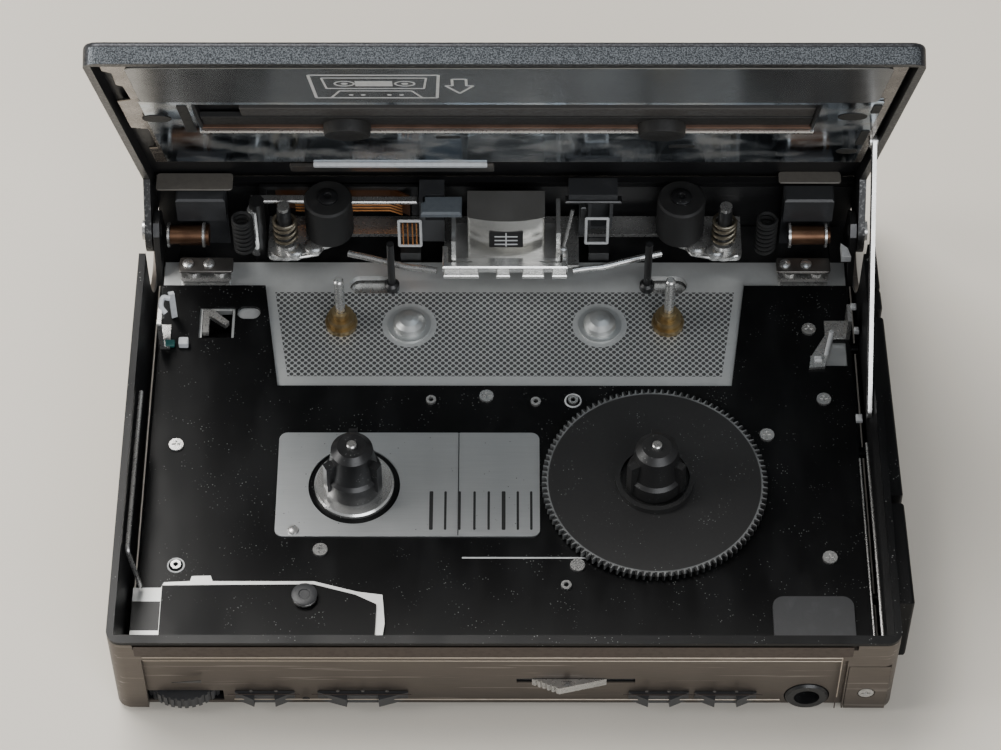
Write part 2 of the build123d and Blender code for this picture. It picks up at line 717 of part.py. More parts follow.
# Socket with a collar that stands out of the front face
socket_barrel_radius = 2.0
socket_collar_stand = 0.4
with BuildPart() as front_socket:
    with BuildSketch(front_level(panel_recess - socket_collar_stand)):
        with Locations(socket_place):
            Circle(socket_ring_radius)
    extrude(amount=-socket_collar_stand - 0.3)
    with BuildSketch(front_level(panel_recess)):
        with Locations(socket_place):
            Circle(socket_barrel_radius)
    extrude(amount=-socket_length)
    with BuildSketch(front_level(panel_recess - socket_collar_stand)):
        with Locations(socket_place):
            Circle(socket_bore_radius)
    extrude(amount=-socket_length, mode=Mode.SUBTRACT)
    chamfer(front_socket.faces().sort_by(Axis.Y)[0].edges().sort_by(SortBy.LENGTH)[-1], 0.3)
front_socket.part.label = "front_socket"
export_step(front_socket.part, "parts/front_socket.step")

# Plain metal block at the front right with its screw
with BuildPart() as corner_plate:
    with BuildSketch(front_level(end_block_depth)):
        box_outline(end_block_sides[0] + 0.1, end_block_sides[1] - 0.1, pan_height - deck_height, end_block_top - 0.12)
    extrude(amount=end_block_depth)
    with BuildSketch(front_level(0)):
        with Locations(block_screw_place):
            Circle(1.2)
    extrude(amount=-0.35, mode=Mode.SUBTRACT)
corner_plate.part.label = "corner_plate"
export_step(corner_plate.part, "parts/corner_plate.step")

def key_edge(y):
    """How far out a side key stands: less towards the back."""
    share = (y - key_spans[0][0]) / (fixed_key_span[1] - key_spans[0][0])
    return half_width + key_stand - key_taper * share


for name, (low, high) in zip(key_names, key_spans):
    with BuildPart() as side_key:
        with BuildSketch(deck_level(key_low)):
            Polygon((half_width - 0.05, low), (key_edge(low), low), (key_edge(high), high), (half_width - 0.05, high))
        extrude(amount=key_high - key_low)
        outer_edges = side_key.faces().sort_by(Axis.X)[-1].edges()
        fillet(outer_edges, 0.45)
        with BuildSketch(side_level(half_width)):
            with Locations(((low + high) / 2, key_stem_height)):
                Circle(key_stem_radius)
        extrude(amount=-key_stem_length)
    side_key.part.label = name
    export_step(side_key.part, f"parts/{name}.step")

with BuildPart() as fixed_key:
    low, high = fixed_key_span
    with BuildSketch(deck_level(key_low)):
        Polygon((half_width, low), (key_edge(low), low), (key_edge(high), high), (half_width, high))
    extrude(amount=key_high - key_low)
    fillet(fixed_key.faces().sort_by(Axis.X)[-1].edges(), 0.45)
fixed_key.part.label = "side_end_piece"
export_step(fixed_key.part, "parts/side_end_piece.step")

# Rear floor behind the light plate, and two rails that carry the head carriage
rear_floor_top = -2.0
rear_floor_thickness = 1.0
rear_front = sheet_back + 0.3
rear_back = back_inner - 0.3
rail_sides = (12.5, 15.5)
rear_rail_low = 8.2
chrome_post_place = (-36.5, 43.1)
chrome_post_radius = 1.1
chrome_post_high = 11.0
carriage_low = 1.5
carriage_thickness = 0.7
carriage_back = 47.3
carriage_front = 38.0
carriage_bar_front = 43.9
carriage_travel = 6.5
carriage_top = carriage_low + carriage_thickness
with BuildPart() as rear_floor:
    with BuildSketch(deck_level(rear_floor_top)):
        box_outline(-sheet_sides, sheet_sides, rear_front, rear_back)
    extrude(amount=-rear_floor_thickness)
    with BuildSketch(deck_level(rear_floor_top)):
        for side in (-1, 1):
            box_outline(min(side * rail_sides[0], side * rail_sides[1]), max(side * rail_sides[0], side * rail_sides[1]),
                        rear_front, rear_back)
    extrude(amount=carriage_low - 0.1 - rear_floor_top)
    with BuildSketch(deck_level(rear_floor_top)):
        with Locations(chrome_post_place):
            Circle(chrome_post_radius)
    extrude(amount=chrome_post_high - rear_floor_top)
    with BuildSketch(deck_level(rear_floor_top)):
        box_outline(-36.4, -35.4, 47.4, 47.9)
        box_outline(-13.9, -12.9, 47.4, 47.9)
    extrude(amount=rear_rail_low - rear_floor_top)
    with BuildSketch(deck_level(rear_rail_low)):
        box_outline(-36.4, -12.9, 47.4, 47.9)
    extrude(amount=0.8)
rear_floor.part.label = "rear_floor"
export_step(rear_floor.part, "parts/rear_floor.step")

# Head carriage: a thin plate that slides forward under the head and both pinch arms
arm_post = (32.4, 41.3)
roller_place = (26.0, 43.7)
post_radius = 0.9
post_high = 12.0
carriage_pad = (30.0, 35.2, 39.4)
with BuildPart() as head_carriage:
    with BuildSketch(deck_level(carriage_low)):
        box_outline(-9.0, 11.0, carriage_front, carriage_back)
        box_outline(-carriage_pad[1], carriage_pad[1], carriage_bar_front, carriage_back)
        for side in (-1, 1):
            with Locations((side * (carriage_pad[0] + carriage_pad[1]) / 2, (carriage_pad[2] + carriage_back) / 2)):
                RectangleRounded(carriage_pad[1] - carriage_pad[0], carriage_back - carriage_pad[2], 1.0)
    extrude(amount=carriage_thickness)
    with BuildSketch(deck_level(carriage_low)):
        with Locations(*[(side * arm_post[0], arm_post[1]) for side in (-1, 1)]):
            Circle(post_radius)
    extrude(amount=post_high - carriage_low)
head_carriage.part.label = "head_carriage"
export_step(head_carriage.part, "parts/head_carriage.step")

# Bright bracket that holds the head: a floor, a lip in front and two cheeks
bracket_sides = (-7.8, 8.2)
bracket_front = 37.4
bracket_sheet = 0.6
bracket_lip_high = 3.9
cheek_high = 8.6
with BuildPart() as head_bracket:
    with BuildSketch(deck_level(carriage_top)):
        box_outline(*bracket_sides, bracket_front, 45.5)
    extrude(amount=bracket_sheet)
    with BuildSketch(deck_level(carriage_top)):
        box_outline(*bracket_sides, bracket_front, bracket_front + bracket_sheet)
        box_outline(bracket_sides[0] + 3.0, bracket_sides[1] - 3.0, bracket_front - 0.5, bracket_front + bracket_sheet)
    extrude(amount=bracket_lip_high - carriage_top)
    with BuildSketch(deck_level(carriage_top)):
        box_outline(bracket_sides[0], bracket_sides[0] + bracket_sheet, bracket_front, 45.5)
        box_outline(bracket_sides[1] - bracket_sheet, bracket_sides[1], 39.0, 45.5)
    extrude(amount=cheek_high - carriage_top)
head_bracket.part.label = "head_bracket"
export_step(head_bracket.part, "parts/head_bracket.step")

# Tape head: a block whose front is a shallow curve across its width
head_sides = (-5.5, 5.9)
head_face = 39.2
head_corner = 40.0
head_back = 45.0
head_low = carriage_top + bracket_sheet
head_high = 11.0
with BuildPart() as tape_head:
    with BuildSketch(deck_level(head_low)):
        with BuildLine():
            Line((head_sides[0], head_corner), (head_sides[0], head_back))
            Line((head_sides[0], head_back), (head_sides[1], head_back))
            Line((head_sides[1], head_back), (head_sides[1], head_corner))
            ThreePointArc((head_sides[1], head_corner), (sum(head_sides) / 2, head_face), (head_sides[0], head_corner))
        make_face()
    extrude(amount=head_high - head_low)
    fillet(tape_head.edges().filter_by(Axis.Z).group_by(Axis.Y)[0], 0.5)
tape_head.part.label = "tape_head"
export_step(tape_head.part, "parts/tape_head.step")

# Plastic blocks at both sides of the head
head_block_sides = (-12.6, -8.9)
holder_sides = (9.4, 16.0)
with BuildPart() as head_blocks:
    with BuildSketch(deck_level(carriage_top)):
        box_outline(*head_block_sides, 42.5, 46.8)
    extrude(amount=9.2)
    with BuildSketch(deck_level(carriage_top + 5.0)):
        box_outline(head_block_sides[0] + 0.9, head_block_sides[1], 42.5, 44.0)
    extrude(amount=4.2, mode=Mode.SUBTRACT)
    with BuildSketch(deck_level(carriage_top + 8.2)):
        box_outline(holder_sides[0], holder_sides[1] + 0.6, 43.6, 46.8)
    extrude(amount=1.4)
    with BuildSketch(deck_level(carriage_top)):
        box_outline(holder_sides[0] + 1.6, holder_sides[0] + 2.4, 43.6, 46.8)
        box_outline(holder_sides[0] + 1.6, holder_sides[1], 45.4, 46.8)
    extrude(amount=8.2)
    with BuildSketch(front_level(spindle_setback + 44.0)):
        rounded_outline(holder_sides[0] + 2.9, holder_sides[1], carriage_top + 1.2, carriage_top + 7.8, 0.5)
    extrude(amount=-2.4)
    with BuildSketch(front_level(spindle_setback + 44.0)):
        rounded_outline(holder_sides[0] + 3.4, holder_sides[1] - 0.5, carriage_top + 1.7, carriage_top + 7.3, 0.3)
    extrude(amount=-2.0, mode=Mode.SUBTRACT)
head_blocks.part.label = "head_blocks"
export_step(head_blocks.part, "parts/head_blocks.step")

# Pinch arms, their rubber rollers on pins, and the springs round the posts
arm_low = carriage_top + 0.2
arm_thickness = 0.7
arm_top = arm_low + arm_thickness
arm_boss_high = 4.1
roller_low = arm_top + 0.3
roller_sleeve = 1.5
roller_pin_radius = 0.8
coil_wire = 0.16
coil_radius = 1.75
coil_pitch = 0.78
coil_turns = 5
coil_low = arm_boss_high + 0.5


def helix_point(x, y, low, radius, pitch, turn):
    """Point of a coil about an upright axis, at a number of turns from its foot."""
    angle = 2 * pi * turn
    return Vector(x + radius * cos(angle), y + radius * sin(angle), low + pitch * turn)


def helix_tangent(radius, pitch, turn):
    """Direction of the wire at that number of turns."""
    angle = 2 * pi * turn
    return Vector(-2 * pi * radius * sin(angle), 2 * pi * radius * cos(angle), pitch).normalized()


def least_gap(radius, pitch, turns, wire):
    """Least gap of a coil to itself, measured between points of turns next to each other."""
    steps = 48
    points = [helix_point(0, 0, 0, radius, pitch, step / steps) for step in range(steps * turns + 1)]
    gaps = []
    for index, point in enumerate(points):
        for other in points[index + steps // 2:]:
            gaps.append((other - point).length)
    return min(gaps) - 2 * wire


def coil_joint(start, start_tangent, end, end_tangent):
    """Where two arcs meet that join two points smoothly, and the direction there."""
    chord = end - start
    total = start_tangent + end_tangent
    share = 2 * (1 - start_tangent.dot(end_tangent))
    reach = (-chord.dot(total) + sqrt(chord.dot(total) ** 2 + share * chord.dot(chord))) / share
    first = start + start_tangent * reach
    second = end - end_tangent * reach
    return (first + second) * 0.5, (second - first).normalized()


for name, side in (("left", -1), ("right", 1)):
    post = (side * arm_post[0], arm_post[1])
    axle = (side * roller_place[0], roller_place[1])
    with BuildPart() as pinch_arm:
        with BuildSketch(deck_level(arm_low)):
            with Locations(post):
                Circle(2.7)
            with Locations(axle):
                Circle(2.4)
            make_hull()
            with Locations(post):
                Circle(post_radius + running_clearance, mode=Mode.SUBTRACT)
        extrude(amount=arm_thickness)
        with BuildSketch(deck_level(arm_top)):
            with Locations(post):
                Circle(1.7)
                Circle(post_radius + running_clearance, mode=Mode.SUBTRACT)
        extrude(amount=arm_boss_high - arm_top)
        with BuildSketch(deck_level(arm_top)):
            with Locations(axle):
                Circle(1.9)
        extrude(amount=0.2)
        with BuildSketch(deck_level(arm_top)):
            with Locations(axle):
                Circle(roller_pin_radius)
        extrude(amount=roller_length + 0.6)
    pinch_arm.part.label = f"pinch_arm_{name}"
    export_step(pinch_arm.part, f"parts/pinch_arm_{name}.step")

    with BuildPart() as pinch_roller:
        with BuildSketch(deck_level(roller_low)):
            with Locations(axle):
                Circle(roller_radius)
                Circle(roller_pin_radius + running_clearance, mode=Mode.SUBTRACT)
        extrude(amount=roller_length)
        chamfer(pinch_roller.edges().filter_by(GeomType.CIRCLE).group_by(SortBy.RADIUS)[-1], 0.3)
    pinch_roller.part.label = f"pinch_roller_{name}"
    export_step(pinch_roller.part, f"parts/pinch_roller_{name}.step")

with BuildPart() as post_springs:
    for side in (-1, 1):
        spring_x = side * arm_post[0]
        spring_y = spindle_y + arm_post[1]
        spring_low = deck_height + coil_low
        with BuildLine() as coil_path:
            for quarter in range(4 * coil_turns):
                start = helix_point(spring_x, spring_y, spring_low, coil_radius, coil_pitch, quarter / 4)
                end = helix_point(spring_x, spring_y, spring_low, coil_radius, coil_pitch, (quarter + 1) / 4)
                leave = helix_tangent(coil_radius, coil_pitch, quarter / 4)
                arrive = helix_tangent(coil_radius, coil_pitch, (quarter + 1) / 4)
                middle, heading = coil_joint(start, leave, end, arrive)
                TangentArc(start, middle, tangent=leave)
                TangentArc(middle, end, tangent=heading)
        with BuildSketch(Plane(coil_path.wire() @ 0, z_dir=coil_path.wire() % 0)):
            RegularPolygon(coil_wire, 6)
        sweep(path=coil_path.wire())
post_springs.part.label = "post_springs"
export_step(post_springs.part, "parts/post_springs.step")
print("post spring gap", round(least_gap(coil_radius, coil_pitch, coil_turns, coil_wire), 3))

# Upright posts and pins of the rear mechanism
guide_pin_places = ((-16.7, 35.8), (21.1, 35.8))
guide_pin_radius = 0.55
guide_pin_high = 10.0
with BuildPart() as guide_pins:
    with BuildSketch(deck_level(-deck_sheet)):
        with Locations(*guide_pin_places):
            Circle(1.1)
    extrude(amount=1.4)
    chamfer(guide_pins.faces().filter_by(Axis.Z).group_by(Axis.Z)[-1].edges(), 0.35)
    with BuildSketch(deck_level(-deck_sheet)):
        with Locations(*guide_pin_places):
            Circle(guide_pin_radius)
    extrude(amount=guide_pin_high + deck_sheet)
guide_pins.part.label = "guide_pins"
export_step(guide_pins.part, "parts/guide_pins.step")

# Corner blocks, their brackets and the bracket screws, alike on both sides
block_sides = (half_width - 11.8, half_width - 4.5)
block_front = 43.6
block_back = 46.8
block_high = 10.4
bracket_outline = (bracket_middle - 3.7, bracket_middle + 3.7, 36.3, 40.4)
with BuildPart() as corner_blocks:
    for side in (-1, 1):
        left, right = sorted((side * block_sides[0], side * block_sides[1]))
        with BuildSketch(deck_level(rear_floor_top)):
            box_outline(left, right, block_front + 1.9, block_back)
        extrude(amount=block_high - rear_floor_top)
        with BuildSketch(deck_level(5.6)):
            box_outline(left, right, block_front, block_back)
        extrude(amount=block_high - 5.6)
    chamfer(corner_blocks.faces().filter_by(Axis.Z).group_by(Axis.Z)[-1].edges(), 0.3)
corner_blocks.part.label = "corner_blocks"
export_step(corner_blocks.part, "parts/corner_blocks.step")

# Wound coils that lie in front of the corner blocks
with BuildPart() as wound_coils:
    for side, radius in ((-1, 1.6), (1, 1.3)):
        with BuildSketch(side_level(side * (half_width - 6.8) - 2.2)):
            with Locations((43.4, 2.6)):
                Circle(radius)
        extrude(amount=4.4)
wound_coils.part.label = "wound_coils"
export_step(wound_coils.part, "parts/wound_coils.step")

# Ribbon cable behind the left roller, under the thin rail
with BuildPart() as ribbon_cable:
    with BuildSketch(deck_level(3.4)):
        with BuildLine():
            offset_line = Polyline((-34.0, 48.0), (-17.0, 48.0), (-14.2, 46.6))
            offset(amount=0.14)
        make_face()
    extrude(amount=4.5)
ribbon_cable.part.label = "ribbon_cable"
export_step(ribbon_cable.part, "parts/ribbon_cable.step")

# Latch lever with its dark cover, at the front left
latch_front = -28.6
lever_outline = ((-51.3, latch_front), (-51.3, -17.4), (-47.5, -17.4), (-47.1, -16.5), (-43.5, -16.3),
                 (-43.3, -15.5), (-40.7, -15.4), (-40.4, -16.3), (-26.4, -16.3), (-20.3, -18.0), (-16.8, -18.5),
                 (-16.4, -23.0), (-17.0, latch_front))
cover_outline = ((-47.3, latch_front), (-47.3, -17.2), (-26.4, -17.0), (-20.5, -18.7), (-17.6, -20.2),
                 (-17.8, latch_front))
with BuildPart() as latch_lever:
    with BuildSketch(deck_level(lever_low)):
        Polygon(*lever_outline)
        with Locations(latch_pivot):
            Circle(latch_screw_radius + running_clearance, mode=Mode.SUBTRACT)
    extrude(amount=lever_sheet)
latch_lever.part.label = "latch_lever"
export_step(latch_lever.part, "parts/latch_lever.step")

with BuildPart() as latch_cover:
    with BuildSketch(deck_level(lever_low + lever_sheet)):
        Polygon(*cover_outline)
        with Locations(latch_pivot):
            Circle(latch_screw_radius + running_clearance, mode=Mode.SUBTRACT)
    extrude(amount=cover_sheet)
latch_cover.part.label = "latch_cover"
export_step(latch_cover.part, "parts/latch_cover.step")

# Small bright pieces: a hook and a wire at the left, a plate and a clip at the right, a claw, corner brackets
clip_wall = half_width - side_wall - 1.7
wire_wall = half_width - side_wall - 0.7
with BuildPart() as deck_clips:
    with BuildSketch(side_level(-clip_wall)):
        with BuildLine():
            Polyline((24.4, 0.7), (24.4, 5.6), (27.6, 5.6), (27.6, 3.4))
            offset(amount=0.35)
        make_face()
    extrude(amount=0.6)
    with BuildSketch(deck_level(0)):
        box_outline(-clip_wall, 1.4 - clip_wall, 24.1, 28.2)
        Polygon((clip_wall - 6.0, 20.5), (clip_wall - 3.7, 20.7), (clip_wall - 3.7, 24.1), (clip_wall - 5.7, 22.6))
        box_outline(clip_wall - 3.4, clip_wall + 0.2, 25.9, 29.0)
        Polygon((clip_wall - 5.7, 22.4), (clip_wall - 3.7, 20.9), (clip_wall - 2.1, 26.2), (clip_wall - 3.4, 26.4))
    extrude(amount=0.5)
    with BuildSketch(deck_level(0.5)):
        box_outline(clip_wall - 0.4, clip_wall + 0.2, 25.9, 29.0)
    extrude(amount=4.0)
    with BuildSketch(deck_level(-deck_sheet)):
        Polygon((-44.3, 26.9), (-43.4, 26.9), (-43.4, 30.0), (-41.0, 28.2), (-40.5, 28.9), (-42.9, 31.1), (-44.3, 31.1))
        for side in (-1, 1):
            left, right = sorted((side * bracket_outline[0], side * bracket_outline[1]))
            rounded_outline(left, right, bracket_outline[2], bracket_outline[3], 0.5)
            with Locations((side * bracket_middle, 38.4)):
                Circle(0.8, mode=Mode.SUBTRACT)
    extrude(amount=rear_bracket_sheet)
    with BuildLine() as wire_path:
        FilletPolyline((-wire_wall, spindle_y + 10, deck_height + 9.0), (-wire_wall, spindle_y - 17.0, deck_height + 9.6),
                       (1.1 - wire_wall, spindle_y - 17.6, deck_height + 1.6), radius=0.9)
    with BuildSketch(Plane(wire_path.wire() @ 0, z_dir=wire_path.wire() % 0)):
        RegularPolygon(0.33, 8)
    sweep(path=wire_path.wire())
deck_clips.part.label = "deck_clips"
export_step(deck_clips.part, "parts/deck_clips.step")

# Hinge: bracket plates inside the case, and headed pins that the lid's ears turn on
hinge_plate_inner = half_width - side_wall - 1.1
hinge_plate = 0.9
with BuildPart() as hinge_brackets:
    for side in (-1, 1):
        with BuildSketch(side_level(side * hinge_plate_inner)):
            Polygon((pin_back - 5.0, rear_floor_top), (pin_back - 2.6, hinge_above_deck + 1.5),
                    (pin_back - 1.2, hinge_above_deck + 3.0), (pin_back + 1.2, hinge_above_deck + 3.0),
                    (pin_back + 2.6, hinge_above_deck + 1.5), (pin_back + 4.0, rear_floor_top))
            with Locations((pin_back, hinge_above_deck)):
                Circle(hinge_pin_radius, mode=Mode.SUBTRACT)
        extrude(amount=side * hinge_plate)
        foot_left, foot_right = sorted((side * (hinge_plate_inner - 2.2), side * (hinge_plate_inner + hinge_plate)))
        with BuildSketch(deck_level(rear_floor_top)):
            box_outline(foot_left, foot_right, pin_back - 1.2, pin_back + 4.0)
        extrude(amount=0.8)
hinge_brackets.part.label = "hinge_brackets"
export_step(hinge_brackets.part, "parts/hinge_brackets.step")

with BuildPart() as hinge_pins:
    for side in (-1, 1):
        with BuildSketch(side_level(side * hinge_plate_inner)):
            with Locations((pin_back, hinge_above_deck)):
                Circle(hinge_pin_radius)
        extrude(amount=side * (half_width - hinge_plate_inner + 0.1))
        with BuildSketch(side_level(side * (half_width + 0.1))):
            with Locations((pin_back, hinge_above_deck)):
                Circle(hinge_head_radius + 0.3)
        extrude(amount=side * hinge_head_height)
hinge_pins.part.label = "hinge_pins"
export_step(hinge_pins.part, "parts/hinge_pins.step")

# Lid, drawn as if closed and then turned open on its planes
lid_front = -hinge_setback
lid_rear = case_depth - hinge_setback
lid_low = rim_above_deck - hinge_above_deck + lid_seam
lid_top = lid_low + lid_height
lid_ceiling = lid_top - lid_skin
lid_front_wall = 1.3
ear_height = lid_low + 0.6
with BuildPart() as lid_shell:
    with BuildSketch(lid_level(lid_low)):
        with Locations((0, (lid_front + lid_rear) / 2)):
            RectangleRounded(case_width, lid_rear - lid_front, corner_radius)
    extrude(amount=lid_height)
    fillet(lid_shell.faces().sort_by(Axis(origin=(0, 0, 0), direction=lid_up))[-1].edges(), 0.7)
    with BuildSketch(lid_level(lid_low)):
        box_outline(side_wall - half_width, half_width - side_wall, lid_front + lid_front_wall, lid_rear - lid_wall)
    extrude(amount=lid_ceiling - lid_low, mode=Mode.SUBTRACT)
    for side in (-1, 1):
        with BuildSketch(lid_side(side * half_width)):
            Circle(ear_end_radius)
            with Locations((0, ear_height - 0.3)):
                Rectangle(2 * ear_half_width, 0.6)
            make_hull()
            Circle(hinge_pin_radius + running_clearance, mode=Mode.SUBTRACT)
        extrude(amount=-side * ear_thickness)
lid_shell.part.label = "lid_shell"
export_step(lid_shell.part, "parts/lid_shell.step")

# Printed panel inside the lid's front
lid_panel_half = half_width - 5.4
lid_panel_ends = (2.1, 18.4)
with BuildPart() as lid_panel:
    with BuildSketch(lid_level(lid_low + 0.2)):
        rounded_outline(-lid_panel_half, lid_panel_half, lid_front + lid_panel_ends[0], lid_front + lid_panel_ends[1], 0.8)
    extrude(amount=lid_ceiling - lid_low - 0.2)
lid_panel.part.label = "lid_panel"
export_step(lid_panel.part, "parts/lid_panel.step")

# Polished plate with a window for the black tray, holes and slots
plate_ends = (18.7, 51.3)
plate_side_gap = 1.6
plate_half = half_width - side_wall - plate_side_gap
tray_half = 42.2
tray_ends = (19.3, 34.0)
cup_outer = 3.3
cup_inner = 2.6
plate_low = lid_low + 0.3
plate_sheet = 0.5
with BuildPart() as lid_plate:
    with BuildSketch(lid_level(plate_low)):
        rounded_outline(-plate_half, plate_half, lid_front + plate_ends[0], lid_front + plate_ends[1], 0.8)
        box_outline(-tray_half - 0.1, tray_half + 0.1, lid_front + tray_ends[0], lid_front + tray_ends[1], )
    extrude(amount=plate_sheet)
    with BuildSketch(lid_level(plate_low)):
        box_outline(-tray_half, tray_half, lid_front + tray_ends[0], lid_front + tray_ends[1])
        with Locations((-spindle_x, lid_front + spindle_setback), (spindle_x, lid_front + spindle_setback)):
            Circle(cup_outer + 0.1)
        hole_x = plate_half - 4.1
        with Locations((-hole_x, lid_front + 26.4), (hole_x, lid_front + 26.4), (hole_x + 1.7, lid_front + 44.4)):
            Circle(1.6)
        with Locations((-9.5, lid_front + 36.6), (27.2, lid_front + 43.9)):
            SlotOverall(6.5, 1.4)
        box_outline(-plate_half - 1, 1.2 - plate_half, lid_front + 32.2, lid_front + 44.7)
    extrude(amount=plate_sheet, mode=Mode.SUBTRACT)
    with BuildSketch(lid_level(plate_low + plate_sheet)):
        box_outline(-plate_half + 1.6, plate_half - 1.6, lid_front + plate_ends[1] - 0.8, lid_front + plate_ends[1])
        box_outline(-plate_half + 1.6, plate_half - 1.6, lid_front + 35.5 + 2.4, lid_front + 35.5 + 3.2)
    extrude(amount=lid_ceiling - plate_low - plate_sheet)
lid_plate.part.label = "lid_plate"
export_step(lid_plate.part, "parts/lid_plate.step")

with BuildPart() as lid_tray:
    with BuildSketch(lid_level(plate_low + 0.1)):
        box_outline(-tray_half + 0.15, tray_half - 0.15, lid_front + tray_ends[0] + 0.15, lid_front + tray_ends[1] - 0.15)
        with Locations((-spindle_x, lid_front + spindle_setback), (spindle_x, lid_front + spindle_setback)):
            Circle(cup_outer)
    extrude(amount=lid_ceiling - plate_low - 0.1)
    with BuildSketch(lid_level(plate_low + 0.1)):
        box_outline(-tray_half + 0.8, tray_half - 0.8, lid_front + tray_ends[0] + 0.8, lid_front + tray_ends[1] - 0.8)
        with Locations((-spindle_x, lid_front + spindle_setback), (spindle_x, lid_front + spindle_setback)):
            Circle(cup_outer, mode=Mode.SUBTRACT)
            Circle(cup_inner)
    extrude(amount=0.9, mode=Mode.SUBTRACT)
lid_tray.part.label = "lid_tray"
export_step(lid_tray.part, "parts/lid_tray.step")

with BuildPart() as lid_springs:
    with BuildSketch(lid_level(plate_low + 0.45)):
        rounded_outline(-17.0, 17.0, lid_front + 21.6, lid_front + 24.4, 0.5)
    extrude(amount=0.55)
    for side in (-1, 1):
        left, right = sorted((side * (half_width - 14.0), side * (half_width - 3.0)))
        with BuildSketch(lid_level(lid_ceiling - 0.6)):
            rounded_outline(left, right, lid_front + 54.0, lid_front + 63.0, 0.8)
        extrude(amount=0.6)
lid_springs.part.label = "lid_springs"
export_step(lid_springs.part, "parts/lid_springs.step")

# Stay arm at the right: its upper end turns on a pin of the lid, its lower end runs along the bay's wall
stay_pin_place = (-29.5, 7.0)
stay_pin_radius = 0.7
stay_thickness = 0.55
stay_half = 1.1
stay_foot = (8.0, 7.5)
stay_side = half_width - side_wall - 0.25
stay_top = (pin_back + stay_pin_place[0] * lid_back[1] + stay_pin_place[1] * lid_up[1],
            hinge_above_deck + stay_pin_place[0] * lid_back[2] + stay_pin_place[1] * lid_up[2])
with BuildPart() as stay_arm:
    with BuildSketch(side_level(stay_side)):
        with Locations(stay_top, stay_foot):
            Circle(stay_half)
        make_hull()
        with Locations(stay_top):
            Circle(stay_pin_radius + running_clearance, mode=Mode.SUBTRACT)
    extrude(amount=-stay_thickness)
stay_arm.part.label = "stay_arm"
export_step(stay_arm.part, "parts/stay_arm.step")

with BuildPart() as stay_stud:
    with BuildSketch(lid_side(half_width - side_wall)):
        with Locations(stay_pin_place):
            Circle(stay_pin_radius)
    extrude(amount=-0.25 - stay_thickness - 0.15)
    with BuildSketch(lid_side(stay_side - stay_thickness - 0.1)):
        with Locations(stay_pin_place):
            Circle(stay_pin_radius + 0.4)
    extrude(amount=-0.3)
stay_stud.part.label = "stay_stud"
export_step(stay_stud.part, "parts/stay_stud.step")
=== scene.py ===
import json
from math import cos, pi, radians, sin

import bmesh
import bpy
import numpy as np
from mathutils import Matrix, Vector


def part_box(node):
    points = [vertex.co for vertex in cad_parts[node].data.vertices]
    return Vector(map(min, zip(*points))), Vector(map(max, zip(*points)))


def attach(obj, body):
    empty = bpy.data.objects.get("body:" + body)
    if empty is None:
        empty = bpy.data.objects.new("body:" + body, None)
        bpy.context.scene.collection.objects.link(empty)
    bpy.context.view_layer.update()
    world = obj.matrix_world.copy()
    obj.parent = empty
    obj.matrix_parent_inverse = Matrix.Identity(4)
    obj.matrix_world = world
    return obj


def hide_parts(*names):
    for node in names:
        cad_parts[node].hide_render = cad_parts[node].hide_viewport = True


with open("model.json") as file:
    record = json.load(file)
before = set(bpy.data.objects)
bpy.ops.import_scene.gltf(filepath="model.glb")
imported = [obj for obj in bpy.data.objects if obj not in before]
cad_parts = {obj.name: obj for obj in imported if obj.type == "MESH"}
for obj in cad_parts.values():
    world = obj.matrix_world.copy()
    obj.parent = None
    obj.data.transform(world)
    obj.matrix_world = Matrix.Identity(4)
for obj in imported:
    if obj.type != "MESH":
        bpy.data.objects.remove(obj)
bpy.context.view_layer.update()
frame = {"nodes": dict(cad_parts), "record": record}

nodes = frame["nodes"]
print("frame loaded:", len(nodes), "CAD nodes")

# Places are given in millimetres from the middle of the two reels, on the deck's top
deckAt = {"back": -8.75, "up": 6.6, "face": -32.7}
lidAt = {"pinBack": 42.3, "pinUp": 5.1, "open": 62.6, "front": -75.0, "low": 6.3, "skin": 0.9, "high": 3.0}


def deck(points):
    # deck places in millimetres, as an array of rows, to metres in the part's own frame
    return (np.asarray(points, float) + (0, deckAt["back"], deckAt["up"])) / 1000


def lid(points):
    # rows of (x, distance back from the lid's front edge, height above the pin) to metres on the open lid
    x, back, high = np.moveaxis(np.asarray(points, float), -1, 0)
    turn = radians(lidAt["open"])
    along = back + lidAt["front"]
    y = lidAt["pinBack"] + along * cos(turn) + high * sin(turn)
    z = lidAt["pinUp"] - along * sin(turn) + high * cos(turn)
    return deck(np.stack([x, y, z], -1))


def face(points):
    # rows of (x, height above the deck, distance out of the front face) to metres
    x, z, out = np.moveaxis(np.asarray(points, float), -1, 0)
    return deck(np.stack([x, deckAt["face"] - out, z], -1))


# Materials. A Wire is one socket, and an expression on wires adds its Math nodes.
class Wire:
    def __init__(self, paint, socket):
        self.paint, self.socket = paint, socket

    def math(self, operation, *values):
        return self.paint.add("ShaderNodeMath", {"operation": operation}, values)

    def __add__(self, other):
        return self.math("ADD", self, other)

    def __sub__(self, other):
        return self.math("SUBTRACT", self, other)

    def __rsub__(self, other):
        return self.math("SUBTRACT", other, self)

    def __mul__(self, other):
        return self.math("MULTIPLY", self, other)

    def __gt__(self, other):
        return self.math("GREATER_THAN", self, other)

    def __lt__(self, other):
        return self.math("LESS_THAN", self, other)

    def __abs__(self):
        return self.math("ABSOLUTE", self)

    def least(self, other):
        return self.math("MINIMUM", self, other)

    def most(self, other):
        return self.math("MAXIMUM", self, other)

    def root(self):
        return self.math("SQRT", self)

    def wrap(self, width):
        # the value repeated over a width, from minus half of it to plus half
        return self.math("WRAP", self, width / 2, -width / 2)

    __radd__ = __add__
    __rmul__ = __mul__


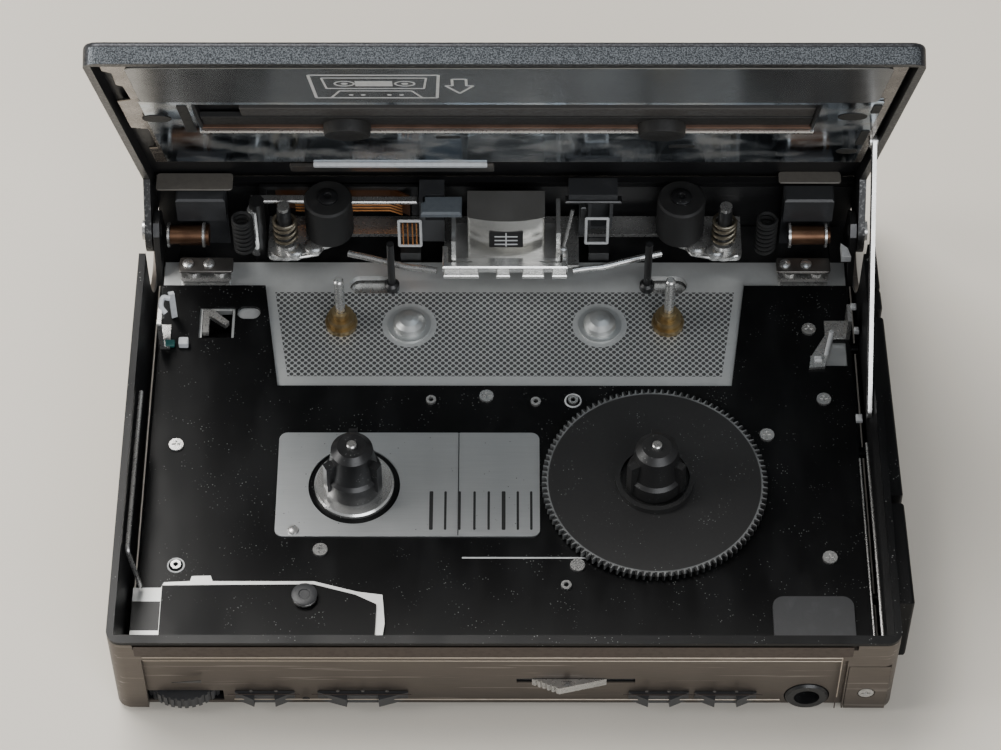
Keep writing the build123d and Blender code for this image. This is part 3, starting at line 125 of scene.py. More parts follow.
class Paint:
    def __init__(self, name):
        self.material = bpy.data.materials.new(name)
        self.material.use_nodes = True
        self.tree = self.material.node_tree
        self.shader = self.tree.nodes["Principled BSDF"]
        place = self.add("ShaderNodeTexCoord", {}, (), "Object")
        self.mm = self.add("ShaderNodeVectorMath", {"operation": "SCALE"}, {0: place, "Scale": 1000.0})
        self.x, self.y, self.z = (self.add("ShaderNodeSeparateXYZ", {}, (self.mm,), axis) for axis in "XYZ")

    def add(self, kind, settings, values, output=0):
        # one node of any type: its settings first, then the values or wires of its sockets
        node = self.tree.nodes.new(kind)
        for name, setting in settings.items():
            setattr(node, name, setting)
        for name, value in (values.items() if isinstance(values, dict) else enumerate(values)):
            if isinstance(value, Wire):
                self.tree.links.new(value.socket, node.inputs[name])
            else:
                node.inputs[name].default_value = value
        return Wire(self, node.outputs[output])

    def set(self, **values):
        # constants go on the shader's own sockets, wires are linked to them
        for name, value in values.items():
            socket = self.shader.inputs[{"colour": "Base Color", "rough": "Roughness", "metal": "Metallic",
                                         "coat": "Coat Weight", "coatRough": "Coat Roughness",
                                         "normal": "Normal", "specular": "Specular IOR Level"}[name]]
            if isinstance(value, Wire):
                self.tree.links.new(value.socket, socket)
            else:
                socket.default_value = (*value, 1) if name == "colour" else value

    def noise(self, scale, detail=3.0, stretch=(1, 1, 1), shift=(0, 0, 0)):
        # scale is in features per millimetre, stretch makes them longer along an axis when it is under one
        spot = self.add("ShaderNodeMapping", {}, {"Vector": self.mm, "Scale": stretch, "Location": shift})
        return self.add("ShaderNodeTexNoise", {}, {"Vector": spot, "Scale": scale, "Detail": detail}, "Fac")

    def cells(self, scale, shift=(0, 0, 0)):
        # distance to the nearest of many scattered points
        spot = self.add("ShaderNodeMapping", {}, {"Vector": self.mm, "Location": shift})
        return self.add("ShaderNodeTexVoronoi", {}, {"Vector": spot, "Scale": scale}, "Distance")

    def ease(self, value, low, high):
        return self.add("ShaderNodeMapRange", {"interpolation_type": "SMOOTHSTEP"},
                        {"Value": value, "From Min": low, "From Max": high})

    def mix(self, share, first, second):
        # sockets 6 and 7 are the two colours of a colour mix
        colours = [(*c, 1) if isinstance(c, tuple) else c for c in (first, second)]
        return self.add("ShaderNodeMix", {"data_type": "RGBA"}, {0: share, 6: colours[0], 7: colours[1]}, 2)

    def bump(self, height, depth):
        # depth in millimetres is what a height of one stands for
        return self.add("ShaderNodeBump", {}, {"Height": height, "Distance": depth / 1000, "Strength": 1.0})


def dustOn(paint, colour, dust):
    # sparse bright specks in patches, over a thin uneven haze
    specks = paint.ease(paint.cells(dust["grain"], (3.7, 1.1, 0.4)), dust["size"], dust["size"] * 0.45)
    where = paint.ease(paint.noise(0.35, 2.0), 0.5, 0.68)
    haze = paint.ease(paint.noise(0.09, 3.0, shift=(5, 2, 0)), 0.35, 0.75) * dust["haze"]
    amount = (specks * where * dust["amount"]).most(haze)
    return paint.mix(amount, colour, dust["colour"]), amount


# What each finish looks like: colours are linear, roughness from 0 to 1
finishes = {
    "fasciaMetal": {"colour": (0.085, 0.072, 0.062), "light": (0.155, 0.134, 0.116), "rough": 0.4,
                    "metal": 0.75},
    "glossBlack": {"colour": (0.0015, 0.0016, 0.0018), "rough": 0.34, "coat": 0.04},
    "deckDust": {"grain": 2.1, "size": 0.2, "amount": 0.6, "haze": 0.007, "colour": (0.36, 0.37, 0.36)},
    "blackPlastic": {"colour": (0.008, 0.008, 0.0085), "light": (0.02, 0.02, 0.021), "rough": 0.34},
    "greyPlastic": {"colour": (0.028, 0.029, 0.031), "light": (0.05, 0.051, 0.054), "rough": 0.42},
    "steel": {"colour": (0.46, 0.46, 0.45), "light": (0.62, 0.61, 0.59), "rough": 0.28},
    "darkSteel": {"colour": (0.05, 0.05, 0.052), "light": (0.1, 0.1, 0.1), "rough": 0.38},
    "chrome": {"colour": (0.66, 0.66, 0.655), "light": (0.74, 0.74, 0.73), "rough": 0.1},
    # the mirror's blue colour is a painted reflection
    "mirror": {"blueReflection": (0.40, 0.48, 0.56), "warm": (0.62, 0.62, 0.60), "rough": 0.075, "blotch": 0.16},
    "brass": {"colour": (0.24, 0.17, 0.085), "light": (0.42, 0.33, 0.18), "rough": 0.34},
    "copper": {"colour": (0.42, 0.16, 0.05), "light": (0.70, 0.33, 0.12), "rough": 0.4},
    "lightSheet": {"colour": (0.50, 0.51, 0.50), "light": (0.64, 0.65, 0.64), "rough": 0.42},
    "label": {"colour": (0.45, 0.47, 0.48), "light": (0.62, 0.63, 0.63), "rough": 0.3},
    "warmLip": {"colour": (0.10, 0.06, 0.045), "light": (0.20, 0.13, 0.10), "rough": 0.4},
    "spool": {"colour": (0.07, 0.035, 0.02), "light": (0.20, 0.11, 0.065), "rough": 0.4},
    "bronze": {"colour": (0.17, 0.145, 0.105), "light": (0.33, 0.29, 0.22), "rough": 0.32},
    "bright": {"colour": (0.72, 0.72, 0.70), "light": (0.85, 0.85, 0.83), "rough": 0.24},
    "headShell": {"colour": (0.50, 0.49, 0.46), "light": (0.66, 0.65, 0.62), "rough": 0.17},
    # brown tint: a painted reflection of a wooden table in the polished sheet
    "woodReflectionSheet": {"colour": (0.13, 0.105, 0.085), "light": (0.32, 0.29, 0.26), "rough": 0.26},
    "flange": {"colour": (0.09, 0.085, 0.08), "light": (0.16, 0.15, 0.14), "rough": 0.4},
    "darkPanel": {"colour": (0.15, 0.155, 0.16), "light": (0.22, 0.225, 0.23), "rough": 0.22},
    "rubber": {"colour": (0.009, 0.009, 0.009), "light": (0.022, 0.021, 0.02), "rough": 0.62},
}


def metalPaint(name, look, grain=1.6, streak=0.5):
    # bare metal: slow colour drift, a fine grain in its colour and roughness, and a few darker patches
    paint = Paint(name)
    drift = paint.ease(paint.noise(0.25, 3.0), 0.3, 0.7)
    lines = paint.noise(grain, 4.0, shift=(2, 7, 1))
    grime = paint.ease(paint.noise(0.9, 5.0, shift=(9, 3, 4)), 0.66, 0.8)
    tone = paint.mix(drift * 0.6 + lines * 0.4, look["colour"], look["light"])
    paint.set(colour=paint.mix(grime * 0.14, tone, tuple(c * 0.5 for c in look["colour"])), metal=0.88,
              rough=(lines * streak + (1 - streak / 2)) * look["rough"] + grime * 0.05,
              normal=paint.bump(lines, 0.003))
    return paint.material


def plasticPaint(name, look, grain=2.4, dust=None):
    # moulded plastic: a fine grain in the surface, wear that lightens it a little, and dust
    paint = Paint(name)
    grains = paint.noise(grain, 4.0)
    wear = paint.ease(paint.noise(0.5, 4.0, shift=(1, 8, 3)), 0.5, 0.78)
    tone = paint.mix(wear * 0.5 + grains * 0.2, look["colour"], look["light"])
    rough = look["rough"] + wear * 0.12
    if dust:
        tone, amount = dustOn(paint, tone, dust)
        rough = rough + amount * 0.5
    paint.set(colour=tone, rough=rough, normal=paint.bump(grains, 0.012))
    return paint.material


fascia = {"streak": (0.12, 1, 1), "scratch": 0.22}
toothed = {"x": 21.25, "teeth": 105, "inner": 15.15}


def toothedPaint():
    # black hub and disc: the teeth's tops are worn bright and carry a painted highlight, in stripes by angle,
    # with a faint bright ring along their roots
    paint = Paint("toothedDisc")
    x, y = paint.x - toothed["x"], paint.y - deckAt["back"]
    far = (x * x + y * y).root()
    turn = paint.add("ShaderNodeMath", {"operation": "ARCTAN2"}, (y, x)) * (toothed["teeth"] / 2 / pi)
    stripe = paint.ease(abs(turn.wrap(1.0)), 0.34, 0.24)
    # the teeth's tops above the disc's face: wear and a painted highlight of light from above
    edge = paint.ease(far, toothed["inner"], toothed["inner"] + 0.1) * (paint.z > 7.0)
    ring = paint.ease(abs(far - toothed["inner"]), 0.14, 0.04)
    patchy = paint.ease(paint.noise(0.3, 3.0), 0.25, 0.6) * 0.6 + 0.4
    # share of bright metal: the worn tops with their painted highlight, and the ring at the roots
    tintShare = (edge * stripe * 0.8).most(ring * 0.55) * patchy
    grain = paint.noise(2.0, 4.0)
    tone = paint.mix(grain, (0.010, 0.010, 0.0105), (0.017, 0.0165, 0.016))
    tone, amount = dustOn(paint, tone, finishes["deckDust"])
    tone = paint.mix(tintShare, tone, (0.42, 0.43, 0.43))
    paint.set(colour=tone, metal=tintShare, rough=0.42 + amount * 0.3 - tintShare * 0.12,
              normal=paint.bump(grain, 0.01))
    return paint.material


def fasciaPaint():
    # satin taupe metal with fine lines along its length, sparse scratches, and darker towards its foot.
    # What faces into the case is near black.
    look = finishes["fasciaMetal"]
    paint = Paint("fasciaMetal")
    lines = paint.noise(3.0, 4.0, fascia["streak"])
    scratch = paint.ease(paint.noise(1.3, 6.0, (0.05, 1.0, 1.6), (4, 4, 4)), 0.62, 0.7)
    low = paint.ease(paint.z, 5.0, 1.0) * 0.4
    tone = paint.mix(lines * 0.6 + paint.noise(0.12, 2.0) * 0.4, look["colour"], look["light"])
    tone = paint.mix(scratch * fascia["scratch"], tone, (0.55, 0.5, 0.45))
    y = paint.y - deckAt["back"]
    inside = (abs(paint.x) < 52.3) * (y > -31.7) * (y < 49.3) * (paint.z > 1.5)
    tone = paint.mix(inside, paint.mix(low, tone, (0.05, 0.045, 0.042)), (0.006, 0.006, 0.0065))
    paint.set(colour=tone, metal=(1 - inside) * look["metal"],
              rough=look["rough"] + lines * 0.14 - scratch * 0.1, normal=paint.bump(lines + scratch, 0.008))
    return paint.material


def deckPaint(name, dust, roughAdd=0.0):
    # glossy black sheet with smears and settled dust
    look = finishes["glossBlack"]
    paint = Paint(name)
    smear = paint.ease(paint.noise(0.16, 4.0, (1, 0.35, 1)), 0.42, 0.72)
    tone, amount = dustOn(paint, paint.mix(smear * 0.5, look["colour"], (0.009, 0.0095, 0.010)), dust)
    paint.set(colour=tone, rough=look["rough"] + smear * 0.16 + amount * 0.5 + roughAdd, coat=look["coat"],
              coatRough=0.2, specular=0.14, normal=paint.bump(paint.noise(0.5, 2.0), 0.006))
    return paint.material


dotField = {"pitch": 1.0, "radius": 0.30, "front": 19.6, "back": 35.0, "frontHalf": 31.6, "backHalf": 34.0,
            "domeX": 14.0, "domeY": 28.9, "domeClear": 4.0}


def dottedSheetPaint():
    # light sheet with a field of fine black dots in a diagonal grid, bare round the domes and along its edges
    look = finishes["lightSheet"]
    paint = Paint("dottedSheet")
    y = paint.y - deckAt["back"]
    pitch = dotField["pitch"]

    def dots(shift):
        # distance to the nearest point of one square grid
        u, v = ((value + shift).wrap(pitch) for value in (paint.x, y))
        return (u * u + v * v).root()

    dot = paint.ease(dots(0.0).least(dots(pitch / 2)), dotField["radius"] + 0.05, dotField["radius"] - 0.05)
    slope = (dotField["backHalf"] - dotField["frontHalf"]) / (dotField["back"] - dotField["front"])
    inside = (abs(paint.x) < (y - dotField["front"]) * slope + dotField["frontHalf"])
    inside = inside * (y > dotField["front"]) * (y < dotField["back"])
    domeX = abs(paint.x) - dotField["domeX"]
    domeY = y - dotField["domeY"]
    away = (domeX * domeX + domeY * domeY) > dotField["domeClear"] ** 2
    grime = paint.ease(paint.noise(0.22, 4.0), 0.45, 0.75)
    tone = paint.mix(grime * 0.4 + paint.noise(2.0, 3.0) * 0.3, look["light"], look["colour"])
    mask = dot * inside * away
    paint.set(colour=paint.mix(mask * 0.94, tone, (0.012, 0.012, 0.012)), metal=(1 - mask) * 0.7,
              rough=look["rough"] + grime * 0.12, normal=paint.bump(paint.noise(1.2, 3.0), 0.01))
    return paint.material


def lidPaint():
    # outside: dark satin metal, with a finely speckled front face. The rim's underside is dark with grey
    # specks, and the hollow is painted near black as shade.
    paint = Paint("lidMetal")
    turn = radians(lidAt["open"])
    backMm, upMm = lidAt["pinBack"] + deckAt["back"], lidAt["pinUp"] + deckAt["up"]
    high = (paint.y - backMm) * sin(turn) + (paint.z - upMm) * cos(turn)
    back = (paint.y - backMm) * cos(turn) - (paint.z - upMm) * sin(turn) - lidAt["front"]
    inner = high < lidAt["low"] + 0.06
    # painted shade: the lid's hollow, seen through gaps between its plates, is near black
    hollowShade = (high > lidAt["low"] + 0.06) * (high < lidAt["low"] + lidAt["high"] - lidAt["skin"] + 0.05)
    hollowShade = hollowShade * (abs(paint.x) < 52.3) * (back > 0.6) * (back < 82.4)
    speck = paint.ease(paint.noise(2.6, 6.0), 0.52, 0.62)
    rim = paint.mix(speck, (0.035, 0.035, 0.036), (0.12, 0.12, 0.12))
    grain = paint.noise(3.0, 5.0)
    dark = paint.mix(paint.ease(grain, 0.35, 0.7), (0.022, 0.023, 0.026), (0.06, 0.062, 0.068))
    lip = (back < 0.35) * (high < lidAt["low"] + lidAt["high"] - 0.75)
    fine = paint.mix(paint.ease(paint.noise(6.0, 3.0), 0.4, 0.62), (0.035, 0.040, 0.046), (0.17, 0.185, 0.20))
    tone = paint.mix(hollowShade, paint.mix(inner, paint.mix(lip, dark, fine), rim), (0.010, 0.010, 0.011))
    paint.set(colour=tone, metal=(1 - hollowShade) * 0.7, rough=0.36 + grain * 0.12,
              normal=paint.bump(grain, 0.012))
    return paint.material


def mirrorPaint():
    # polished plate: clear reflections with faint smears and tiny pits; along the smears its colour shifts
    # between a painted blue reflection and pale grey
    look = finishes["mirror"]
    paint = Paint("mirrorMetal")
    smear = paint.ease(paint.noise(look["blotch"], 5.0), 0.4, 0.7)
    pits = paint.ease(paint.cells(1.9), 0.16, 0.06) * paint.ease(paint.noise(0.4, 2.0), 0.5, 0.65)
    # painted reflection: blue where the smear mask is low, pale grey where it is high
    tone = paint.mix(smear, look["blueReflection"], look["warm"])
    paint.set(colour=paint.mix(pits, tone, (0.1, 0.1, 0.1)), metal=1 - smear * 0.25,
              rough=look["rough"] + smear * 0.12 + pits * 0.3,
              normal=paint.bump(paint.noise(0.3, 3.0), 0.015))
    return paint.material


def labelPaint():
    # brushed plate: fine lines along x, slow bands across and a few dark specks
    look = finishes["label"]
    paint = Paint("brushedLabel")
    lines = paint.noise(5.0, 4.0, (0.04, 1, 1))
    cross = paint.noise(0.2, 2.0, (1, 0.2, 1))
    specks = paint.ease(paint.cells(1.3), 0.13, 0.05) * paint.ease(paint.noise(0.5, 2.0), 0.5, 0.6)
    tone = paint.mix(lines * 0.5 + cross * 0.5, look["colour"], look["light"])
    paint.set(colour=paint.mix(specks, tone, (0.05, 0.05, 0.05)), metal=0.9,
              rough=look["rough"] + lines * 0.15, normal=paint.bump(lines, 0.006))
    return paint.material


def plainPaint(name, colour, rough=0.5, metal=0.0):
    # small printed marks and linings: flat ink with a slight unevenness
    paint = Paint(name)
    tintShare = paint.ease(paint.noise(1.5, 5.0), 0.4, 0.75)
    paint.set(colour=paint.mix(tintShare * 0.35, colour, tuple(c * 0.6 for c in colour)), rough=rough + tintShare * 0.1,
              metal=metal, normal=paint.bump(tintShare, 0.004))
    return paint.material


paints = {
    "fascia_metal": fasciaPaint(), "black_gloss": deckPaint("glossBlack", finishes["deckDust"]),
    "black_metal": plasticPaint("blackMetal", finishes["blackPlastic"], 1.4, finishes["deckDust"]),
    "steel": metalPaint("satinSteel", finishes["steel"]),
    "dark_steel": metalPaint("darkSteel", finishes["darkSteel"]),
    "light_sheet": dottedSheetPaint(), "brushed_label": labelPaint(),
    "grey_plastic": plasticPaint("greyPlastic", finishes["greyPlastic"]),
    "black_plastic": plasticPaint("blackPlastic", finishes["blackPlastic"], 2.0, finishes["deckDust"]),
    "chrome": metalPaint("chrome", finishes["chrome"], grain=0.8, streak=0.4),
    "brass": metalPaint("brass", finishes["brass"]),
    "rubber": plasticPaint("rubber", finishes["rubber"], 1.5),
    "board_green": plainPaint("boardGreen", (0.02, 0.09, 0.035)),
    "cell_wrap": plainPaint("cellWrap", (0.03, 0.06, 0.16)),
    "copper_wire": metalPaint("copperWire", finishes["copper"], grain=4.0),
    "ribbon": plainPaint("ribbon", (0.07, 0.026, 0.008), 0.3), "lid_metal": lidPaint(),
    "mirror_metal": mirrorPaint(),
}
slotOf = {part["node"]: part["material_slot"] for part in frame["record"]["subparts"]}
for name, node in nodes.items():
    node.data.materials.clear()
    node.data.materials.append(paints[slotOf[name]])


def leverPaint():
    # bright edge that shows round the cover, dark at the left end inside its bright rear edge
    look = finishes["bright"]
    paint = Paint("latchLever")
    y = paint.y - deckAt["back"]
    dark = (paint.x < -47.4) * (y < -19.6) * (y > -24.3)
    grain = paint.noise(1.8, 4.0)
    tone = paint.mix(dark, paint.mix(grain, look["colour"], look["light"]), (0.008, 0.008, 0.008))
    paint.set(colour=tone, metal=(1 - dark) * 0.6, rough=0.4 + grain * 0.1, normal=paint.bump(grain, 0.01))
    return paint.material


ownPaint = {"domed_studs": metalPaint("plainSheet", finishes["lightSheet"]), "right_spindle": toothedPaint(),
            "tape_head": metalPaint("headShell", finishes["headShell"]),
            "latch_cover": deckPaint("coverBlack", finishes["deckDust"], 0.06),
            "hinge_brackets": paints["dark_steel"], "volume_wheel": paints["grey_plastic"],
            "latch_lever": leverPaint(),
            "head_bracket": metalPaint("roughBright", finishes["bright"], grain=4.0),
            "left_reel_base": metalPaint("reelRing", finishes["bright"]),
            "wound_coils": metalPaint("spoolWire", finishes["spool"], grain=4.0)}
for name, material in ownPaint.items():
    nodes[name].data.materials[0] = material
print("finishes:", len(paints))

# Camera, floor and lights
view = {"place": (0.475, -250.13, 371.93), "turn": 0.225, "down": 54.06, "roll": -0.135, "lens": 113.74}


def addCamera():
    turn, down, roll = (radians(view[key]) for key in ("turn", "down", "roll"))
    ahead = Vector((-sin(turn) * cos(down), cos(turn) * cos(down), -sin(down)))
    right = Vector((cos(turn), sin(turn), 0))
    above = right.cross(ahead)
    right, above = right * cos(roll) + above * sin(roll), above * cos(roll) - right * sin(roll)
    camera = bpy.data.objects.new("camera", bpy.data.cameras.new("camera"))
    camera.data.lens, camera.data.sensor_width, camera.data.sensor_fit = view["lens"], 36, "HORIZONTAL"
    camera.data.clip_start, camera.data.clip_end = 0.01, 20
    rows = np.array([[*right], [*above], [*-ahead]]).T
    camera.matrix_world = Matrix.Translation(Vector(deck(view["place"]))) @ Matrix(rows.tolist()).to_4x4()
    bpy.context.scene.collection.objects.link(camera)
    bpy.context.scene.camera = camera


lamps = {
    "overhead": {"at": (-0.25, 0.30, 0.75), "size": (0.55, 0.35), "watts": 9.0, "colour": (1.0, 0.98, 0.95)},
    "frontFill": {"at": (0.30, -0.75, 0.55), "size": (0.7, 0.5), "watts": 5.5, "colour": (0.95, 0.97, 1.0)},
    "leftEdge": {"at": (-0.65, -0.05, 0.35), "size": (0.3, 0.5), "watts": 3.0, "colour": (1.0, 0.99, 0.97)},
}


def addLamps():
    for name, lamp in lamps.items():
        data = bpy.data.lights.new(name, "AREA")
        data.shape, (data.size, data.size_y) = "RECTANGLE", lamp["size"]
        data.energy, data.color = lamp["watts"], lamp["colour"]
        lampObject = bpy.data.objects.new(name, data)
        lampObject.location = lamp["at"]
        towards = Vector((0, 0, 0.01)) - Vector(lamp["at"])
        lampObject.rotation_euler = towards.to_track_quat("-Z", "Y").to_euler()
        bpy.context.scene.collection.objects.link(lampObject)
    world = bpy.data.worlds.new("studio")
    world.use_nodes = True
    world.node_tree.nodes["Background"].inputs["Color"].default_value = (0.85, 0.87, 0.9, 1)
    world.node_tree.nodes["Background"].inputs["Strength"].default_value = 0.32
    bpy.context.scene.world = world


def addFloor():
    data = bpy.data.meshes.new("floor")
    data.from_pydata([(-3, -3, 0), (3, -3, 0), (3, 3, 0), (-3, 3, 0)], [], [(0, 1, 2, 3)])
    floor = bpy.data.objects.new("floor", data)
    paint = Paint("floorPaint")
    tint = paint.noise(0.01, 3.0)
    paint.set(colour=paint.mix(tint, (0.60, 0.56, 0.49), (0.64, 0.60, 0.53)), rough=tint * 0.1 + 0.55)
    data.materials.append(paint.material)
    bpy.context.scene.collection.objects.link(floor)


addCamera()
addLamps()
addFloor()
print("camera, lamps and floor")


# Shapes. Each gives its places in metres, its four-sided faces and its end faces.
def shell(loops):
    # the skin over a stack of rings: ring i and place j are joined to ring i+1 and place j+1
    count, around = loops.shape[:2]
    i, j = np.meshgrid(np.arange(count - 1), np.arange(around), indexing="ij")
    after, beside = (i + 1) * around, (j + 1) % around
    quads = np.stack([i * around + j, i * around + beside, after + beside, after + j], -1).reshape(-1, 4)
    caps = [np.arange(around)[::-1], np.arange(around) + (count - 1) * around]
    return loops.reshape(-1, 3), quads, caps


def grown(outline, amount):
    # each corner moves along the sum of its two sides' normals over one plus their product
    side = np.roll(outline, -1, 0) - outline
    side = side / np.linalg.norm(side, axis=1, keepdims=True)
    normal = np.stack([side[:, 1], -side[:, 0]], 1)
    before = np.roll(normal, 1, 0)
    return outline + amount * (normal + before) / (1 + (normal * before).sum(1, keepdims=True))


def slab(outline, low, high, edge=0.06, place=deck):
    # a flat piece between two levels: four rings, the outer two set in by the edge's bevel
    outline = np.asarray(outline, float)
    area = (outline[:, 0] * np.roll(outline[:, 1], -1) - outline[:, 1] * np.roll(outline[:, 0], -1)).sum()
    outline = outline if area > 0 else outline[::-1]
    levels = ((low, -edge), (low + edge, 0), (high - edge, 0), (high, -edge))
    rings = [np.column_stack([grown(outline, inset), np.full(len(outline), height)])
             for height, inset in levels]
    return shell(place(np.stack(rings)))


def oblong(x0, y0, x1, y1, radius=0.3, steps=5):
    # a rectangle with corners (cx + r cos a, cy + r sin a)
    angle = np.linspace(0, np.pi / 2, steps)
    corners = ((x1, y1, 1, 1, 0), (x0, y1, -1, 1, 1), (x0, y0, -1, -1, 2), (x1, y0, 1, -1, 3))
    rows = [np.column_stack([cx - sx * radius + radius * np.cos(angle + q * np.pi / 2),
                             cy - sy * radius + radius * np.sin(angle + q * np.pi / 2)])
            for cx, cy, sx, sy, q in corners]
    return np.concatenate(rows)


def disc(x, y, radius, steps=40):
    angle = np.linspace(0, 2 * np.pi, steps, endpoint=False)
    return np.column_stack([x + radius * np.cos(angle), y + radius * np.sin(angle)])


def bar(start, end, width):
    # the four corners of a line with a width
    start, end = np.asarray(start, float), np.asarray(end, float)
    along = (end - start) / np.linalg.norm(end - start)
    aside = np.array([-along[1], along[0]]) * width / 2
    return np.array([start - aside, end - aside, end + aside, start + aside])


def stroke(places, width, low, high, place=deck, closed=False):
    # a printed line: one thin bar for each length of it
    ends = places + places[:1] if closed else places
    return [slab(bar(a, b, width), low, high, (high - low) / 4, place) for a, b in zip(ends[:-1], ends[1:])]


def turned(profile, centre, place=deck, steps=48):
    # a profile of (radius, level) turned about an upright line: (x + r cos a, y + r sin a, level)
    angle = np.linspace(0, 2 * np.pi, steps, endpoint=False)
    radius, level = np.asarray(profile, float).T[:, :, None]
    rings = [centre[0] + radius * np.cos(angle), centre[1] + radius * np.sin(angle), level + 0 * angle]
    return shell(place(np.stack(rings, -1)))


def tube(path, radius, sides):
    # a round wire: path + radius (cos a * side + sin a * above), both at right angles to the path
    path = np.asarray(path, float)
    along = np.gradient(path, axis=0)
    along = along / np.linalg.norm(along, axis=1, keepdims=True)
    least = np.eye(3)[np.argmin(np.abs(along).max(0))]
    side = np.cross(along, least)
    side = side / np.linalg.norm(side, axis=1, keepdims=True)
    above = np.cross(side, along)
    angle = np.linspace(0, 2 * np.pi, sides, endpoint=False)[None, :, None]
    rings = path[:, None] + radius * (np.cos(angle) * side[:, None] + np.sin(angle) * above[:, None])
    return shell(deck(rings))


def smoothed(corners, steps=8):
    # a smooth cubic curve through the corners: it leaves each along the line between its neighbours
    p = np.asarray(corners, float)
    p = np.concatenate([2 * p[:1] - p[1:2], p, 2 * p[-1:] - p[-2:-1]])
    t = np.linspace(0, 1, steps, endpoint=False)[None, :, None]
    a, b, c, d = (p[k:len(p) - 3 + k, None] for k in range(4))
    bend, twist = 2 * a - 5 * b + 4 * c - d, 3 * b - a - 3 * c + d
    curve = 0.5 * (2 * b + (c - a) * t + bend * t ** 2 + twist * t ** 3)
    return np.concatenate([curve.reshape(-1, 3), p[-2:-1]])


def coil(centre, radius, wire, low, high, turns, sides=8):
    # a spring: (x + r cos a, y + r sin a, low + (high - low) a / all turns), with its end turns laid flat
    t = np.linspace(0, 1, int(turns * 28))
    rise = np.clip((t * (turns + 1.4) - 0.7) / turns, 0, 1)
    angle = 2 * np.pi * turns * t
    return tube(np.column_stack([centre[0] + radius * np.cos(angle), centre[1] + radius * np.sin(angle),
                                 low + wire + (high - low - 2 * wire) * rise]), wire, sides)


def box(x0, x1, y0, y1, low, high, edge=0.15, place=deck):
    return slab([(x0, y0), (x1, y0), (x1, y1), (x0, y1)], low, high, edge, place)


def build(name, shapes, slotName, body="case", instead=(), paint=None):
    # joins the shapes into one piece that rides on a body and stands for the CAD nodes it replaces
    start = np.cumsum([0] + [len(places) for places, _, _ in shapes])
    faces = [row for k, (_, quads, _) in zip(start, shapes) for row in (quads + k).tolist()]
    faces += [(cap + k).tolist() for k, (_, _, caps) in zip(start, shapes) for cap in caps]
    data = bpy.data.meshes.new(name)
    data.from_pydata(np.concatenate([places for places, _, _ in shapes]).tolist(), [], faces)
    work = bmesh.new()
    work.from_mesh(data)
    bmesh.ops.remove_doubles(work, verts=work.verts, dist=1e-7)
    bmesh.ops.recalc_face_normals(work, faces=work.faces)
    work.to_mesh(data)
    work.free()
    data.shade_smooth()
    data.set_sharp_from_angle(angle=radians(40))
    piece = bpy.data.objects.new(name, data)
    data.materials.append(paint or paints[slotName])
    bpy.context.scene.collection.objects.link(piece)
    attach(piece, body)
    if instead:
        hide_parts(*instead)


inks = {
    "pale": plainPaint("paleInk", (0.55, 0.56, 0.56), 0.4),
    "dark": plainPaint("darkInk", (0.006, 0.006, 0.006), 0.6),
    "grey": plainPaint("greyInk", (0.045, 0.042, 0.04), 0.45),
    "brown": plainPaint("brownBand", (0.03, 0.018, 0.013), 0.35),
    "white": plainPaint("whiteStrip", (0.7, 0.72, 0.74), 0.4),
    "leaf": plainPaint("leafBrown", (0.13, 0.12, 0.105), 0.4),
    "line": plainPaint("brightLine", (0.42, 0.36, 0.29), 0.3, 0.5),
    "blueGrey": plainPaint("blueGrey", (0.10, 0.115, 0.13), 0.45),
    "bandBrown": plainPaint("bandBrown", (0.045, 0.032, 0.025), 0.4, 0.4),
    "copper": metalPaint("warmLip", finishes["warmLip"]),
    "bronze": metalPaint("bronzeWire", finishes["bronze"], grain=3.0),
    "bright": metalPaint("brightSheet", finishes["bright"]),
    "inner": metalPaint("woodReflectionSheet", finishes["woodReflectionSheet"]),
    "flange": metalPaint("flange", finishes["flange"]),
    "panel": metalPaint("darkPanel", finishes["darkPanel"]),
    "spool": ownPaint["wound_coils"],
}

# Lid inside. Levels are heights above the pin with the lid shut, so a lower one lies nearer to the eye.
level = {"sheet": 7.1, "plate": 6.75, "plateBack": 7.05, "panel": 6.62, "panelBack": 7.0, "ink": 6.58}
tray = {"x": (-41.6, 42.2), "rows": (23.6, 28.6, 32.8, 37.2, 39.5), "wall": 0.4, "back": 8.1, "lip": 0.7}
x0, x1 = tray["x"]
rows, wall, trayBack = tray["rows"], tray["wall"], tray["back"]

lidSheet = {"side": 51.3, "front": 1.6, "back": 60.4, "thick": 0.4,
            "notched": [(-50.2, 60.4), (-50.2, 51.6), (-49.0, 51.2), (-49.0, 39.4), (-51.3, 38.6),
                        (-51.3, 23.4), (-49.4, 22.4), (-49.6, 15.0), (-50.4, 14.0), (-50.2, 8.0),
                        (-51.3, 6.8), (-51.3, 1.6)]}
near, far = lidSheet["front"], lidSheet["back"]
under, over = level["sheet"], level["sheet"] + lidSheet["thick"]
sheets = [[(x0, near), (x0, far)] + lidSheet["notched"], oblong(x1, near, lidSheet["side"], far, 0.2),
          oblong(x0, near, x1, rows[0], 0.1), oblong(x0, rows[4], x1, far, 0.1)]
# the side sheets' brown colour is a painted reflection of wood
build("lidSheet", [slab(sheet, under, over, 0.1, lid) for sheet in sheets], "mirror_metal", "lid",
      paint=inks["inner"])

